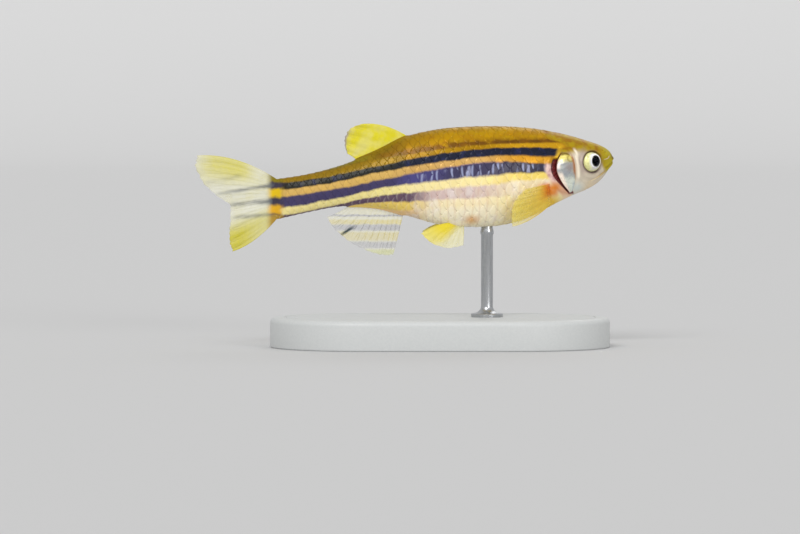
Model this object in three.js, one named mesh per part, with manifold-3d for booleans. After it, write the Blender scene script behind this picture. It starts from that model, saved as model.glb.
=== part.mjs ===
// A zebra danio: a small striped freshwater fish, life size, held over a flat base by one short rod.
// Millimetres, +Z up. The snout points along +X and the fish's own right side faces -Y.
// The origin is the centre of the base's underside.
// The fish is shaped straight, in (x, side, height above the belly's lowest point), and then bent
// sideways along its midline, so both flanks stay alike and every gap keeps its width.
import * as THREE from 'three';
import Module from 'manifold-3d';
import { mergeVertices } from 'three/addons/utils/BufferGeometryUtils.js';

const wasm = await Module();
wasm.setup();

// Driving dimensions of the fish
const STANDARD_LENGTH = 33.6; // snout to the end of the tail stalk
const BODY_DEPTH = 10; // back to belly, without fins
const BODY_WIDTH = 6; // across the flanks
const SNOUT_X = 17.36; // how far the snout reaches ahead of the stand's centre
const EYE_DIAMETER = 1.98;
const EYE_DEPTH = 1.7; // front to back
const FIN_THICKNESS = 0.5;
const FIN_TIP_THICKNESS = 0.26;
const RAY_HEIGHT = 0.12; // how far a fin ray stands out of its membrane, on each side
const RAY_FOOT = 0.3; // half a ray's width, as a share of the space from ray to ray
const RAY_REACH = 0.035; // how far a ray's tip passes the membrane, as a share of its length
const BARBEL_RADIUS = 0.25;
const GAP = 0.3; // between neighbouring pieces

// The sideways bend: the midline's slope grows evenly from the straight point towards both ends
const BEND_PER_MM = 0.0155;
const STRAIGHT_AT_X = -6.2;

// Driving dimensions of the stand
const BELLY_HEIGHT = 12; // belly's lowest point above the floor
const BASE_LENGTH = 34;
const BASE_WIDTH = 19;
const BASE_THICKNESS = 3;
const BASE_CORNER = 9.5; // half the width, so both ends are round
const BASE_BEVEL = 0.4;
const ROD_X = 4.7;
const ROD_RADIUS = 0.6;
const FLANGE_RADIUS = 1.6;
const FLANGE_HEIGHT = 0.6;

// Mesh fineness
const BODY_RINGS = 42;
const RING_POINTS = 34;
const CORNER_STEPS = 8; // steps along each rounded corner of the base

// The body's cross-sections from the snout back. at: share of the standard length. back, belly:
// heights as shares of the depth. wide: share of the width. level: where the section is widest, as a
// share of its own height. square: 2 is an ellipse, and more is boxier.
const STATIONS = [
  { at: 0, back: 0.677, belly: 0.673, wide: 0, level: 0.5, square: 2 },
  { at: 0.003, back: 0.718, belly: 0.628, wide: 0.16, level: 0.5, square: 2.2 },
  { at: 0.0167, back: 0.776, belly: 0.56, wide: 0.31, level: 0.52, square: 2.3 },
  { at: 0.0405, back: 0.82, belly: 0.458, wide: 0.45, level: 0.56, square: 2.3 },
  { at: 0.0762, back: 0.861, belly: 0.378, wide: 0.585, level: 0.58, square: 2.3 },
  { at: 0.1238, back: 0.909, belly: 0.312, wide: 0.715, level: 0.56, square: 2.2 },
  { at: 0.1744, back: 0.95, belly: 0.23, wide: 0.82, level: 0.52, square: 2.1 },
  { at: 0.2488, back: 0.99, belly: 0.1, wide: 0.935, level: 0.47, square: 2.1 },
  { at: 0.3381, back: 1.008, belly: 0.015, wide: 1, level: 0.43, square: 2.15 },
  { at: 0.4274, back: 1.005, belly: 0, wide: 0.985, level: 0.42, square: 2.15 },
  { at: 0.5256, back: 0.976, belly: 0.03, wide: 0.87, level: 0.44, square: 2.1 },
  { at: 0.6149, back: 0.908, belly: 0.115, wide: 0.71, level: 0.47, square: 2 },
  { at: 0.7101, back: 0.752, belly: 0.198, wide: 0.56, level: 0.5, square: 2 },
  { at: 0.8143, back: 0.615, belly: 0.205, wide: 0.43, level: 0.5, square: 2 },
  { at: 0.9185, back: 0.525, belly: 0.14, wide: 0.33, level: 0.5, square: 2.1 },
  { at: 1, back: 0.482, belly: 0.077, wide: 0.25, level: 0.5, square: 2.3 },
];

const MATERIALS = {
  skin: { color: 0xb99a3c, roughness: 0.4, metalness: 0.1 },
  silver: { color: 0xd6d6cc, roughness: 0.3, metalness: 0.3 },
  gill: { color: 0x7a2a26, roughness: 0.6, metalness: 0 },
  eye: { color: 0xe8e7b8, roughness: 0.15, metalness: 0 },
  fin: { color: 0xe4dc7c, roughness: 0.5, metalness: 0 },
  base: { color: 0xc9cac8, roughness: 0.45, metalness: 0 },
  rod: { color: 0xb9bbbd, roughness: 0.3, metalness: 1 },
};

// Smooth curves and the body's surface

// A smooth curve through uneven knots, read at one place.
function smooth(knots, values, at) {
  const last = knots.length - 1;
  let i = 0;
  while (i < last - 1 && at > knots[i + 1]) i++;
  const rise = (k) => (values[k + 1] - values[k]) / (knots[k + 1] - knots[k]);
  const slope = (k) => {
    if (k === 0) return rise(0);
    if (k === last) return rise(last - 1);
    const before = knots[k] - knots[k - 1];
    const after = knots[k + 1] - knots[k];
    return (rise(k - 1) * after + rise(k) * before) / (before + after);
  };
  const span = knots[i + 1] - knots[i];
  const t = THREE.MathUtils.clamp((at - knots[i]) / span, 0, 1);
  const t2 = t * t;
  const t3 = t2 * t;
  return (
    values[i] * (2 * t3 - 3 * t2 + 1) +
    span * slope(i) * (t3 - 2 * t2 + t) +
    values[i + 1] * (3 * t2 - 2 * t3) +
    span * slope(i + 1) * (t3 - t2)
  );
}

// The stations are read on the square root of their place, which makes the snout round.
const ROOTS = STATIONS.map((s) => Math.sqrt(s.at));
const read = (key, root) => smooth(ROOTS, STATIONS.map((s) => s[key]), root);

function section(x) {
  const root = Math.sqrt(THREE.MathUtils.clamp((SNOUT_X - x) / STANDARD_LENGTH, 0, 1));
  const back = read('back', root) * BODY_DEPTH;
  const belly = read('belly', root) * BODY_DEPTH;
  return {
    back,
    belly,
    wide: (read('wide', root) * BODY_WIDTH) / 2,
    middle: belly + read('level', root) * (back - belly),
    square: read('square', root),
  };
}

const backHeight = (x) => section(x).back;
const bellyHeight = (x) => section(x).belly;

// Half the body's width at a place seen from the side.
function flank(x, z) {
  const s = section(x);
  const reach = z > s.middle ? s.back - s.middle : s.middle - s.belly;
  const share = Math.min(1, Math.abs(z - s.middle) / reach);
  return s.wide * (1 - share ** s.square) ** (1 / s.square);
}

// The height of the underside at a place seen from below.
function underside(x, side) {
  const s = section(x);
  const share = Math.min(1, Math.abs(side) / s.wide);
  return s.middle - (s.middle - s.belly) * (1 - share ** s.square) ** (1 / s.square);
}

const midlineY = (x) => (BEND_PER_MM * ((x - STRAIGHT_AT_X) ** 2 - (ROD_X - STRAIGHT_AT_X) ** 2)) / 2;

// From the straight fish to the bent one over the stand.
function bend(x, side, z) {
  const yaw = Math.atan(BEND_PER_MM * (x - STRAIGHT_AT_X));
  return [x - Math.sin(yaw) * side, midlineY(x) + Math.cos(yaw) * side, z + BELLY_HEIGHT];
}

// Closed meshes and how they join

function solid(points, faces) {
  const geometry = new THREE.BufferGeometry();
  geometry.setAttribute('position', new THREE.Float32BufferAttribute(points.flat(), 3));
  geometry.setIndex(faces.flat());
  const merged = mergeVertices(geometry, 1e-5);
  const made = new wasm.Manifold(
    new wasm.Mesh({
      numProp: 3,
      vertProperties: merged.attributes.position.array,
      triVerts: new Uint32Array(merged.index.array),
    }),
  );
  if (made.volume() > 0) return made;
  return solid(points, faces.map(([a, b, c]) => [a, c, b]));
}

function solidOf(geometry) {
  const bare = geometry.index ? geometry.toNonIndexed() : geometry.clone();
  const { array } = bare.attributes.position;
  const points = [];
  for (let i = 0; i < array.length; i += 3) points.push([array[i], array[i + 1], array[i + 2]]);
  const faces = [];
  for (let i = 0; i < points.length; i += 3) faces.push([i, i + 1, i + 2]);
  return solid(points, faces);
}

// Only the largest closed surface is kept, which drops scraps.
function largest(made) {
  const pieces = made.decompose();
  return pieces.reduce((best, piece) => (piece.volume() > best.volume() ? piece : best));
}

// A plate between two alike grids of points, closed round its rim. Both faces are split alike.
function plate(front, rear) {
  const rows = front.length;
  const columns = front[0].length;
  const points = [...front.flat(), ...rear.flat()];
  const at = (r, c) => r * columns + c;
  const behind = rows * columns;
  const faces = [];
  for (let r = 0; r < rows - 1; r++) {
    for (let c = 0; c < columns - 1; c++) {
      const [p, q, s, t] = [at(r, c), at(r, c + 1), at(r + 1, c + 1), at(r + 1, c)];
      faces.push([p, q, s], [p, s, t]);
      faces.push([behind + p, behind + s, behind + q], [behind + p, behind + t, behind + s]);
    }
  }
  const rim = [];
  for (let c = 0; c < columns - 1; c++) rim.push(at(0, c));
  for (let r = 0; r < rows - 1; r++) rim.push(at(r, columns - 1));
  for (let c = columns - 1; c > 0; c--) rim.push(at(rows - 1, c));
  for (let r = rows - 1; r > 0; r--) rim.push(at(r, 0));
  rim.forEach((p, i) => {
    const q = rim[(i + 1) % rim.length];
    faces.push([p, behind + p, behind + q], [p, behind + q, q]);
  });
  return solid(points, faces);
}

// A patch of a flank between two edges seen from the side, x as a function of height.
function flankPatch({ side, top, bottom, rows, columns, front, rear, outer, inner }) {
  const grid = (offset) =>
    Array.from({ length: rows + 1 }, (_, r) => {
      const z = top + ((bottom - top) * r) / rows;
      return Array.from({ length: columns + 1 }, (__, c) => {
        const x = front(z) + ((rear(z) - front(z)) * c) / columns;
        return [x, side * Math.max(SEPTUM / 2, flank(x, z) + offset(r, c)), z];
      });
    });
  return plate(grid(outer), grid(inner));
}

// A round tube through points, with its own radius at each, closed to a point at both ends.
function tube(points, radii, sides) {
  const curve = new THREE.CatmullRomCurve3(points.map((p) => new THREE.Vector3(...p)));
  const frames = curve.computeFrenetFrames(radii.length - 1);
  const rings = radii.map((radius, i) => {
    const centre = curve.getPointAt(i / (radii.length - 1));
    return Array.from({ length: sides }, (_, k) => {
      const turn = (2 * Math.PI * k) / sides;
      return centre
        .clone()
        .addScaledVector(frames.normals[i], radius * Math.cos(turn))
        .addScaledVector(frames.binormals[i], radius * Math.sin(turn))
        .toArray();
    });
  });
  return loft(rings, curve.getPointAt(0).toArray(), curve.getPointAt(1).toArray());
}

// Rings of equal count joined one to the next, with a cap fanned from a point at each end.
function loft(rings, firstPole, lastPole) {
  const count = rings[0].length;
  const points = [...rings.flat(), firstPole, lastPole];
  const [first, last] = [points.length - 2, points.length - 1];
  const faces = [];
  rings.forEach((_, r) => {
    for (let k = 0; k < count; k++) {
      const next = (k + 1) % count;
      const [p, q] = [r * count + k, r * count + next];
      if (r === 0) faces.push([first, q, p]);
      if (r === rings.length - 1) faces.push([last, p, q]);
      else faces.push([p, q, q + count], [p, q + count, p + count]);
    }
  });
  return solid(points, faces);
}

// A slab through the whole width, from an outline seen from the side.
function slab(outline) {
  const reach = BODY_WIDTH;
  const shape = new THREE.Shape(outline.map(([x, z]) => new THREE.Vector2(x, z)));
  const geometry = new THREE.ExtrudeGeometry(shape, { depth: 2 * reach, bevelEnabled: false });
  geometry.rotateX(Math.PI / 2);
  geometry.translate(0, reach, 0);
  return solidOf(geometry);
}

function ball(centre, radii, across, around) {
  const geometry = new THREE.SphereGeometry(1, around, across);
  geometry.scale(...radii);
  geometry.translate(...centre);
  return solidOf(geometry);
}

// The whole body, before it is parted

function wholeBody() {
  const rings = [];
  for (let i = 1; i <= BODY_RINGS; i++) {
    const root = i / BODY_RINGS;
    const x = SNOUT_X - root * root * STANDARD_LENGTH;
    const s = section(x);
    rings.push(
      Array.from({ length: RING_POINTS }, (_, k) => {
        const turn = (2 * Math.PI * (k + 0.5)) / RING_POINTS;
        const [up, out] = [Math.cos(turn), Math.sin(turn)];
        const round = (v) => Math.sign(v) * Math.abs(v) ** (2 / s.square);
        const reach = up > 0 ? s.back - s.middle : s.middle - s.belly;
        return [x, s.wide * round(out), s.middle + reach * round(up)];
      }),
    );
  }
  const tailX = SNOUT_X - STANDARD_LENGTH;
  const tail = section(tailX);
  return loft(rings, [SNOUT_X, 0, section(SNOUT_X).middle], [tailX, 0, tail.middle]);
}

// Places on the head, seen from the side

const GILL_TOP = 7.45;
const GILL_BOTTOM = 3.45;
const GILL_STRIP = 0.5; // width of the gill strip that the slit shows
const SEPTUM = 0.5; // the wall that is always left between the two flanks' slits
const FILAMENTS = 12;
const FILAMENT_DEPTH = 0.14;
const COVER_CROWN = 0.08; // how far the middle of the gill cover bulges
const GILL_HEIGHTS = [1.6, 2.6, 3.5, 4.07, 4.96, 5.6, 6.55, 7.5, 8.4, 10.6];
const GILL_EDGE = [14.1, 13.25, 12.5, 11.86, 11.2, 10.92, 11, 11.5, 11.75, 11.85];
const CHEEK_HEIGHTS = [3.2, 3.8, 4.6, 5.6, 6.4, 7.1, 7.8];
const CHEEK_EDGE = [12.85, 13.1, 13.2, 13.15, 13.05, 12.8, 12.3];
const gillEdge = (z) => smooth(GILL_HEIGHTS, GILL_EDGE, z);
const cheekEdge = (z) => smooth(CHEEK_HEIGHTS, CHEEK_EDGE, z);

const EYE_X = 14.72;
const EYE_Z = 6.5;
const EYE_SINK = 0.34; // how far the eyeball's middle lies under the skin
const SOCKET_GAP = 0.16; // all round the eyeball
const RIM_RADIUS = 0.14;
const NOSTRILS = [
  [16.28, 7.42],
  [15.95, 7.62],
];
const NOSTRIL_RADII = [0.15, 0.2, 0.13];

const MOUTH_TIP = [17.36, 6.7];
const MOUTH_CORNER = [16.35, 5.88];
const MOUTH_RISE = (MOUTH_TIP[1] - MOUTH_CORNER[1]) / (MOUTH_TIP[0] - MOUTH_CORNER[0]);
const LIP_RADIUS = 0.29;
const LIP_INSET = 0.06; // how far behind the snout's tip the lips' middle line runs
const CHIN = [15.55, 3.7];
const TAIL_CUT_X = -9.35;

// Which part of the body lies ahead of the gill opening, or behind it.
function beyondGills(offset, ahead) {
  const steps = 24;
  const [low, high] = [GILL_HEIGHTS[0] - 3, GILL_HEIGHTS.at(-1) + 1];
  const line = Array.from({ length: steps + 1 }, (_, i) => {
    const z = low + ((high - low) * i) / steps;
    return [gillEdge(THREE.MathUtils.clamp(z, GILL_HEIGHTS[0], GILL_HEIGHTS.at(-1))) + offset, z];
  });
  const far = ahead ? SNOUT_X + 3 : SNOUT_X - STANDARD_LENGTH - 3;
  return slab([...line, [far, high], [far, low]]);
}

// The wedge of the lower jaw, moved ahead and down by a distance.
function jawWedge(distance) {
  const [dx, dz] = [0.817 * distance, -0.642 * distance];
  const ahead = 1.4;
  return slab(
    [
      [MOUTH_TIP[0] + ahead, MOUTH_TIP[1] + ahead * MOUTH_RISE],
      MOUTH_CORNER,
      CHIN,
      [CHIN[0], CHIN[1] - 2],
      [MOUTH_TIP[0] + ahead, CHIN[1] - 2],
    ].map(([x, z]) => [x + dx, z + dz]),
  );
}

// One raised rim round the mouth's line, which the mouth's cut then splits into two lips.
function lips() {
  const steps = 9;
  const front = MOUTH_TIP[0] - LIP_INSET;
  const points = [];
  for (const side of [-1, 1]) {
    for (let i = 0; i < steps; i++) {
      const share = side < 0 ? i / steps : 1 - (i + 1) / steps;
      const x = MOUTH_CORNER[0] + (front - MOUTH_CORNER[0]) * Math.sin((share * Math.PI) / 2);
      const z = MOUTH_CORNER[1] + (x - MOUTH_CORNER[0]) * MOUTH_RISE;
      points.push([x, side * flank(x, z), z]);
    }
  }
  const rings = 13;
  const radii = Array.from({ length: rings }, (_, i) => {
    const share = Math.sin((Math.PI * (i + 0.7)) / (rings + 0.4));
    return LIP_RADIUS * share ** 0.6;
  });
  return tube(points, radii, 8);
}

// The way out of the body's flank at a place seen from the side.
function outward(x, side, z) {
  const step = 0.05;
  const alongX = (flank(x + step, z) - flank(x - step, z)) / (2 * step);
  const alongZ = (flank(x, z + step) - flank(x, z - step)) / (2 * step);
  return new THREE.Vector3(-alongX, side, -alongZ).normalize();
}

// A round thing made along +Z, turned to look out of the head at the eye's place and sunk in it.
function atEye(geometry, side, sink) {
  const out = outward(EYE_X, side, EYE_Z);
  const turn = new THREE.Quaternion();
  turn.setFromUnitVectors(new THREE.Vector3(0, 0, 1), out);
  geometry.applyQuaternion(turn);
  const place = new THREE.Vector3(EYE_X, side * flank(EYE_X, EYE_Z), EYE_Z).addScaledVector(out, -sink);
  geometry.translate(...place);
  return solidOf(geometry);
}

// The flattened eyeball, or with a clearance its socket.
function eye(side, clearance = 0) {
  const geometry = new THREE.SphereGeometry(1, 18, 12);
  geometry.rotateX(Math.PI / 2);
  const radius = EYE_DIAMETER / 2 + clearance;
  geometry.scale(radius, radius, EYE_DEPTH / 2 + clearance);
  return atEye(geometry, side, EYE_SINK);
}

// The raised rim of the eye socket.
function eyeRim(side) {
  const radius = EYE_DIAMETER / 2 + SOCKET_GAP * 0.6;
  return atEye(new THREE.TorusGeometry(radius, RIM_RADIUS, 6, 24), side, RIM_RADIUS * 0.4);
}

// The ridge of bone down the cheek, ahead of the gill cover.
function cheekRidge(side) {
  return flankPatch({
    side,
    top: GILL_TOP + 0.1,
    bottom: GILL_BOTTOM + 0.1,
    rows: 10,
    columns: 2,
    front: (z) => cheekEdge(z) + GAP + 0.62,
    rear: (z) => cheekEdge(z) + GAP + 0.08,
    outer: (r, c) => (c === 1 ? 0.15 : -0.05),
    inner: () => -0.4,
  });
}

function head(body) {
  let made = body.add(lips()).intersect(beyondGills(0, true)).subtract(jawWedge(-GAP / 2));
  for (const side of [-1, 1]) {
    made = made
      .add(eyeRim(side))
      .add(cheekRidge(side))
      .subtract(operculum(side, GAP))
      .subtract(eye(side, SOCKET_GAP));
    for (const [x, z] of NOSTRILS) {
      made = made.subtract(ball([x, side * flank(x, z), z], NOSTRIL_RADII, 6, 8));
    }
  }
  return largest(made);
}

const lowerJaw = (body) => largest(body.add(lips()).intersect(jawWedge(GAP / 2)));

// The share of its full width that a rounded plate keeps at a height between its two ends.
function roundEnds(z, top, bottom, least) {
  const share = Math.min(1, Math.abs((2 * z - top - bottom) / (top - bottom)));
  return least + (1 - least) * Math.sqrt(1 - share ** 6);
}

// The gill cover, or with a clearance the recess that it lies in.
function operculum(side, clearance = 0) {
  const recess = clearance > 0;
  const [top, bottom] = [GILL_TOP + clearance, GILL_BOTTOM - clearance];
  const width = (z) => (cheekEdge(z) - gillEdge(z)) * roundEnds(z, top, bottom, 0.4);
  return flankPatch({
    side,
    top,
    bottom,
    rows: 12,
    columns: 5,
    front: (z) => gillEdge(z) + width(z) + clearance,
    rear: (z) => gillEdge(z) - (recess ? 1 : 0),
    outer: (r, c) => (recess ? 2 : 0.12 + COVER_CROWN * Math.sin((Math.PI * c) / 5)),
    inner: () => -0.5 - clearance,
  });
}

// The red gill strip, with a ridge for each filament, in the slit behind the cover, or with a
// clearance the slit that holds it.
function gill(side, clearance = 0) {
  const slit = clearance > 0;
  const [top, bottom] = [GILL_TOP - 0.35 + clearance, GILL_BOTTOM + 0.25 - clearance];
  const width = (z) => GILL_STRIP * roundEnds(z, top, bottom, 0.5);
  return flankPatch({
    side,
    top,
    bottom,
    rows: slit ? 12 : 2 * FILAMENTS,
    columns: slit ? 1 : 2,
    front: (z) => gillEdge(z) - GAP + (slit ? 1 : 0),
    rear: (z) => gillEdge(z) - GAP - width(z) - clearance,
    outer: (r) => (slit ? 2 : -0.08 - FILAMENT_DEPTH * (r % 2)),
    inner: () => -1 - clearance,
  });
}

function torso(body) {
  const ahead = slab([
    [TAIL_CUT_X + GAP / 2, -5],
    [SNOUT_X, -5],
    [SNOUT_X, 15],
    [TAIL_CUT_X + GAP / 2, 15],
  ]);
  const made = body.intersect(beyondGills(-GAP, false)).intersect(ahead);
  return largest(made.subtract(gill(-1, GAP)).subtract(gill(1, GAP)));
}

function tailStalk(body) {
  const tailX = SNOUT_X - STANDARD_LENGTH - 1;
  return largest(
    body.intersect(
      slab([
        [tailX, -5],
        [TAIL_CUT_X - GAP / 2, -5],
        [TAIL_CUT_X - GAP / 2, 15],
        [tailX, 15],
      ]),
    ),
  );
}

// A barbel laid back along the cheek, from its root to its tip as seen from the side.
function barbel(side, [rootX, rootZ], [tipX, tipZ]) {
  const steps = 5;
  const points = Array.from({ length: steps + 1 }, (_, i) => {
    const t = i / steps;
    const [x, z] = [rootX + (tipX - rootX) * t, rootZ + (tipZ - rootZ) * t];
    return [x, side * (flank(x, z) + GAP + BARBEL_RADIUS * (1.15 + 0.5 * t)), z];
  });
  const radii = [0.7, 1, 1, 0.9, 0.75, 0.6, 0.35].map((share) => share * BARBEL_RADIUS);
  return tube(points, radii, 8);
}

// Fins

// A fin whose rays run from its base curve to its tip curve, as ridges raised in both its faces.
// Both curves are functions of a share from the first ray to the last. bow: how far the first and
// the last ray arch, in height. sway: how far a place on the fin leans sideways.
function fin({ base, tips, rays, rows, bow = [0, 0], sway = () => 0 }) {
  const place = (a, r) => {
    const point = base(a).clone().lerp(tips(a), r);
    point.z += 4 * r * (1 - r) * (bow[0] * (1 - a) ** 2 + bow[1] * a ** 2);
    point.y += sway(a, r);
    return point;
  };
  const columns = [];
  for (let i = 0; i < rays; i++) {
    const [crest, foot] = [i / (rays - 1), RAY_FOOT / (rays - 1)];
    if (i > 0) columns.push({ a: crest - foot, ridge: 0 });
    columns.push({ a: crest, ridge: 1 });
    if (i < rays - 1) columns.push({ a: crest + foot, ridge: 0 });
  }
  const step = 1e-3;
  const face = (facing) =>
    columns.map(({ a, ridge }) =>
      Array.from({ length: rows + 1 }, (_, k) => {
        const r = (k / rows) * (1 - RAY_REACH * (1 - ridge));
        const along = place(a, Math.min(1, r + step)).sub(place(a, Math.max(0, r - step)));
        const across = place(Math.min(1, a + step), r).sub(place(Math.max(0, a - step), r));
        const normal = along.cross(across).normalize();
        const thin = Math.max(0, r * 4 - 3);
        const thick = FIN_THICKNESS + (FIN_TIP_THICKNESS - FIN_THICKNESS) * thin;
        const raised = RAY_HEIGHT * ridge * (1 - 0.6 * r);
        return place(a, r).addScaledVector(normal, facing * (thick / 2 + raised)).toArray();
      }),
    );
  return plate(face(1), face(-1));
}

function through(points) {
  const curve = new THREE.CatmullRomCurve3(points.map((p) => new THREE.Vector3(...p)));
  return (a) => curve.getPoint(a);
}

function dorsalFin() {
  const [front, rear] = [-3.4, -8.35];
  return fin({
    rays: 9,
    rows: 6,
    base: (a) => {
      const x = front + (rear - front) * a;
      return new THREE.Vector3(x, 0, backHeight(x) + GAP);
    },
    tips: through([
      [-7.9, 0.1, 10.28],
      [-8.95, 0.15, 9.85],
      [-9.48, 0.2, 9.05],
      [-9.52, 0.2, 8.2],
      [-9.3, 0.15, 7.35],
    ]),
    bow: [0.42, 0.05],
  });
}

function analFin() {
  const [front, rear] = [-3.75, -9.15];
  return fin({
    rays: 12,
    rows: 7,
    base: (a) => {
      const x = front + (rear - front) * a;
      return new THREE.Vector3(x, 0, bellyHeight(x) - GAP);
    },
    tips: through([
      [-4.7, -0.15, -2.75],
      [-5.8, -0.2, -2.78],
      [-7.5, -0.25, -2.25],
      [-9.15, -0.25, -1.35],
      [-10.6, -0.2, -0.1],
      [-11.3, -0.1, 1.0],
    ]),
    bow: [-0.1, -0.1],
    sway: (a, r) => 0.15 * Math.sin(Math.PI * a) * r,
  });
}

function caudalFin(lobe) {
  const x = SNOUT_X - STANDARD_LENGTH - GAP;
  const upper = lobe === 'upper';
  const [outer, inner] = upper ? [4.75, 2.93] : [0.85, 2.63];
  const tips = upper
    ? [
        [-24.55, 0.5, 7.15],
        [-24.7, 0.5, 6.05],
        [-24.05, 0.4, 4.6],
        [-22.6, 0.3, 3.2],
        [-21.1, 0.2, 2.15],
      ]
    : [
        [-20.6, -0.7, -2.45],
        [-20.9, -0.6, -1.6],
        [-20.97, -0.4, -0.4],
        [-20.97, -0.2, 0.7],
        [-21.0, 0, 1.75],
      ];
  return fin({
    rays: upper ? 10 : 9,
    rows: 9,
    base: (a) => new THREE.Vector3(x, 0, outer + (inner - outer) * a),
    tips: through(tips),
    bow: upper ? [0.68, 0.05] : [-0.5, 0.03],
  });
}

function pelvicFin(side) {
  const near = side < 0;
  const root = (a) => {
    const x = 2.25 - 1.55 * a;
    const out = side * (0.75 + 0.4 * a);
    return new THREE.Vector3(x, out, underside(x, out) - GAP);
  };
  const tips = near
    ? [
        [1.75, -1.55, -1.75],
        [0.75, -1.9, -2.08],
        [-0.45, -2.1, -1.5],
        [-1.4, -2.1, -0.85],
      ]
    : [
        [0.35, 1.5, -1.6],
        [-0.55, 1.75, -1.4],
        [-1.3, 1.8, -1.0],
        [-1.65, 1.7, -0.45],
      ];
  return fin({ rays: 8, rows: 5, base: root, tips: through(tips) });
}

function pectoralFin(side) {
  const root = (a) => {
    const [x, z] = [11.0 - 0.62 * a, 2.7 + 1.6 * a];
    return new THREE.Vector3(x, side * (flank(x, z) + GAP + FIN_THICKNESS / 2), z);
  };
  const tips = [
    [6.5, 3.3, 0.1],
    [6.35, 3.6, 1.15],
    [6.45, 3.85, 2.25],
    [6.9, 3.95, 3.1],
    [7.7, 3.85, 3.85],
  ].map(([x, out, z]) => [x, side * out, z]);
  return fin({ rays: 11, rows: 6, base: root, tips: through(tips), bow: [-0.15, 0] });
}

// The stand

function standBase() {
  const [half, deep] = [BASE_LENGTH / 2 - BASE_BEVEL, BASE_WIDTH / 2 - BASE_BEVEL];
  const corner = BASE_CORNER - BASE_BEVEL;
  const shape = new THREE.Shape();
  shape.moveTo(half - corner, -deep);
  shape.absarc(half - corner, -deep + corner, corner, -Math.PI / 2, 0);
  shape.absarc(half - corner, deep - corner, corner, 0, Math.PI / 2);
  shape.absarc(-half + corner, deep - corner, corner, Math.PI / 2, Math.PI);
  shape.absarc(-half + corner, -deep + corner, corner, Math.PI, Math.PI * 1.5);
  shape.closePath();
  const geometry = new THREE.ExtrudeGeometry(shape, {
    depth: BASE_THICKNESS - 2 * BASE_BEVEL,
    bevelThickness: BASE_BEVEL,
    bevelSize: BASE_BEVEL,
    bevelSegments: 1,
    curveSegments: CORNER_STEPS,
  });
  geometry.translate(0, 0, BASE_BEVEL);
  return solidOf(geometry);
}

function standRod() {
  const top = BELLY_HEIGHT + bellyHeight(ROD_X) - GAP;
  const profile = [
    [0, BASE_THICKNESS],
    [FLANGE_RADIUS, BASE_THICKNESS],
    [FLANGE_RADIUS, BASE_THICKNESS + FLANGE_HEIGHT * 0.6],
    [ROD_RADIUS * 1.5, BASE_THICKNESS + FLANGE_HEIGHT],
    [ROD_RADIUS, BASE_THICKNESS + FLANGE_HEIGHT * 1.8],
    [ROD_RADIUS, top],
    [0, top],
  ].map(([r, z]) => new THREE.Vector2(r, z));
  const geometry = new THREE.LatheGeometry(profile, 24);
  geometry.rotateX(Math.PI / 2);
  geometry.translate(ROD_X, 0, 0);
  return solidOf(geometry);
}

// The scene graph

const model = new THREE.Group();
model.name = 'zebra_danio';

function addPiece(name, made, finish, straight = true) {
  const { numProp, numVert, vertProperties, triVerts } = made.getMesh();
  const places = new Float32Array(numVert * 3);
  for (let i = 0; i < numVert; i++) {
    const [x, y, z] = vertProperties.subarray(i * numProp, i * numProp + 3);
    places.set(straight ? bend(x, y, z) : [x, y, z], i * 3);
  }
  const geometry = new THREE.BufferGeometry();
  geometry.setAttribute('position', new THREE.BufferAttribute(places, 3));
  geometry.setIndex(new THREE.BufferAttribute(triVerts, 1));
  geometry.computeVertexNormals();
  const mesh = new THREE.Mesh(geometry, new THREE.MeshStandardMaterial(MATERIALS[finish]));
  mesh.name = name;
  model.add(mesh);
}

const body = wholeBody();
addPiece('head', head(body), 'skin');
addPiece('lower_jaw', lowerJaw(body), 'skin');
addPiece('torso', torso(body), 'skin');
addPiece('tail_stalk', tailStalk(body), 'skin');
for (const [hand, side] of [
  ['right', -1],
  ['left', 1],
]) {
  addPiece(`eye_${hand}`, eye(side), 'eye');
  addPiece(`operculum_${hand}`, operculum(side), 'silver');
  addPiece(`gill_${hand}`, gill(side), 'gill');
  addPiece(`barbel_lip_${hand}`, barbel(side, [16.72, 7.2], [15.85, 6.75]), 'skin');
  addPiece(`barbel_mouth_${hand}`, barbel(side, [16.05, 5.55], [14.3, 4.5]), 'skin');
  addPiece(`pectoral_fin_${hand}`, pectoralFin(side), 'fin');
  addPiece(`pelvic_fin_${hand}`, pelvicFin(side), 'fin');
}
addPiece('dorsal_fin', dorsalFin(), 'fin');
addPiece('anal_fin', analFin(), 'fin');
addPiece('caudal_fin_upper', caudalFin('upper'), 'fin');
addPiece('caudal_fin_lower', caudalFin('lower'), 'fin');
addPiece('stand_base', standBase(), 'base', false);
addPiece('stand_rod', standRod(), 'rod', false);

export default model;
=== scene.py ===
"""A zebra danio, life size, as a still museum model over a plain display stand.

The fish is shaped straight, in millimetres: x towards the snout, side towards its left flank, and
height above the belly's lowest point. Body.bent() turns that into the frame's metres.
"""

import math

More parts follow.
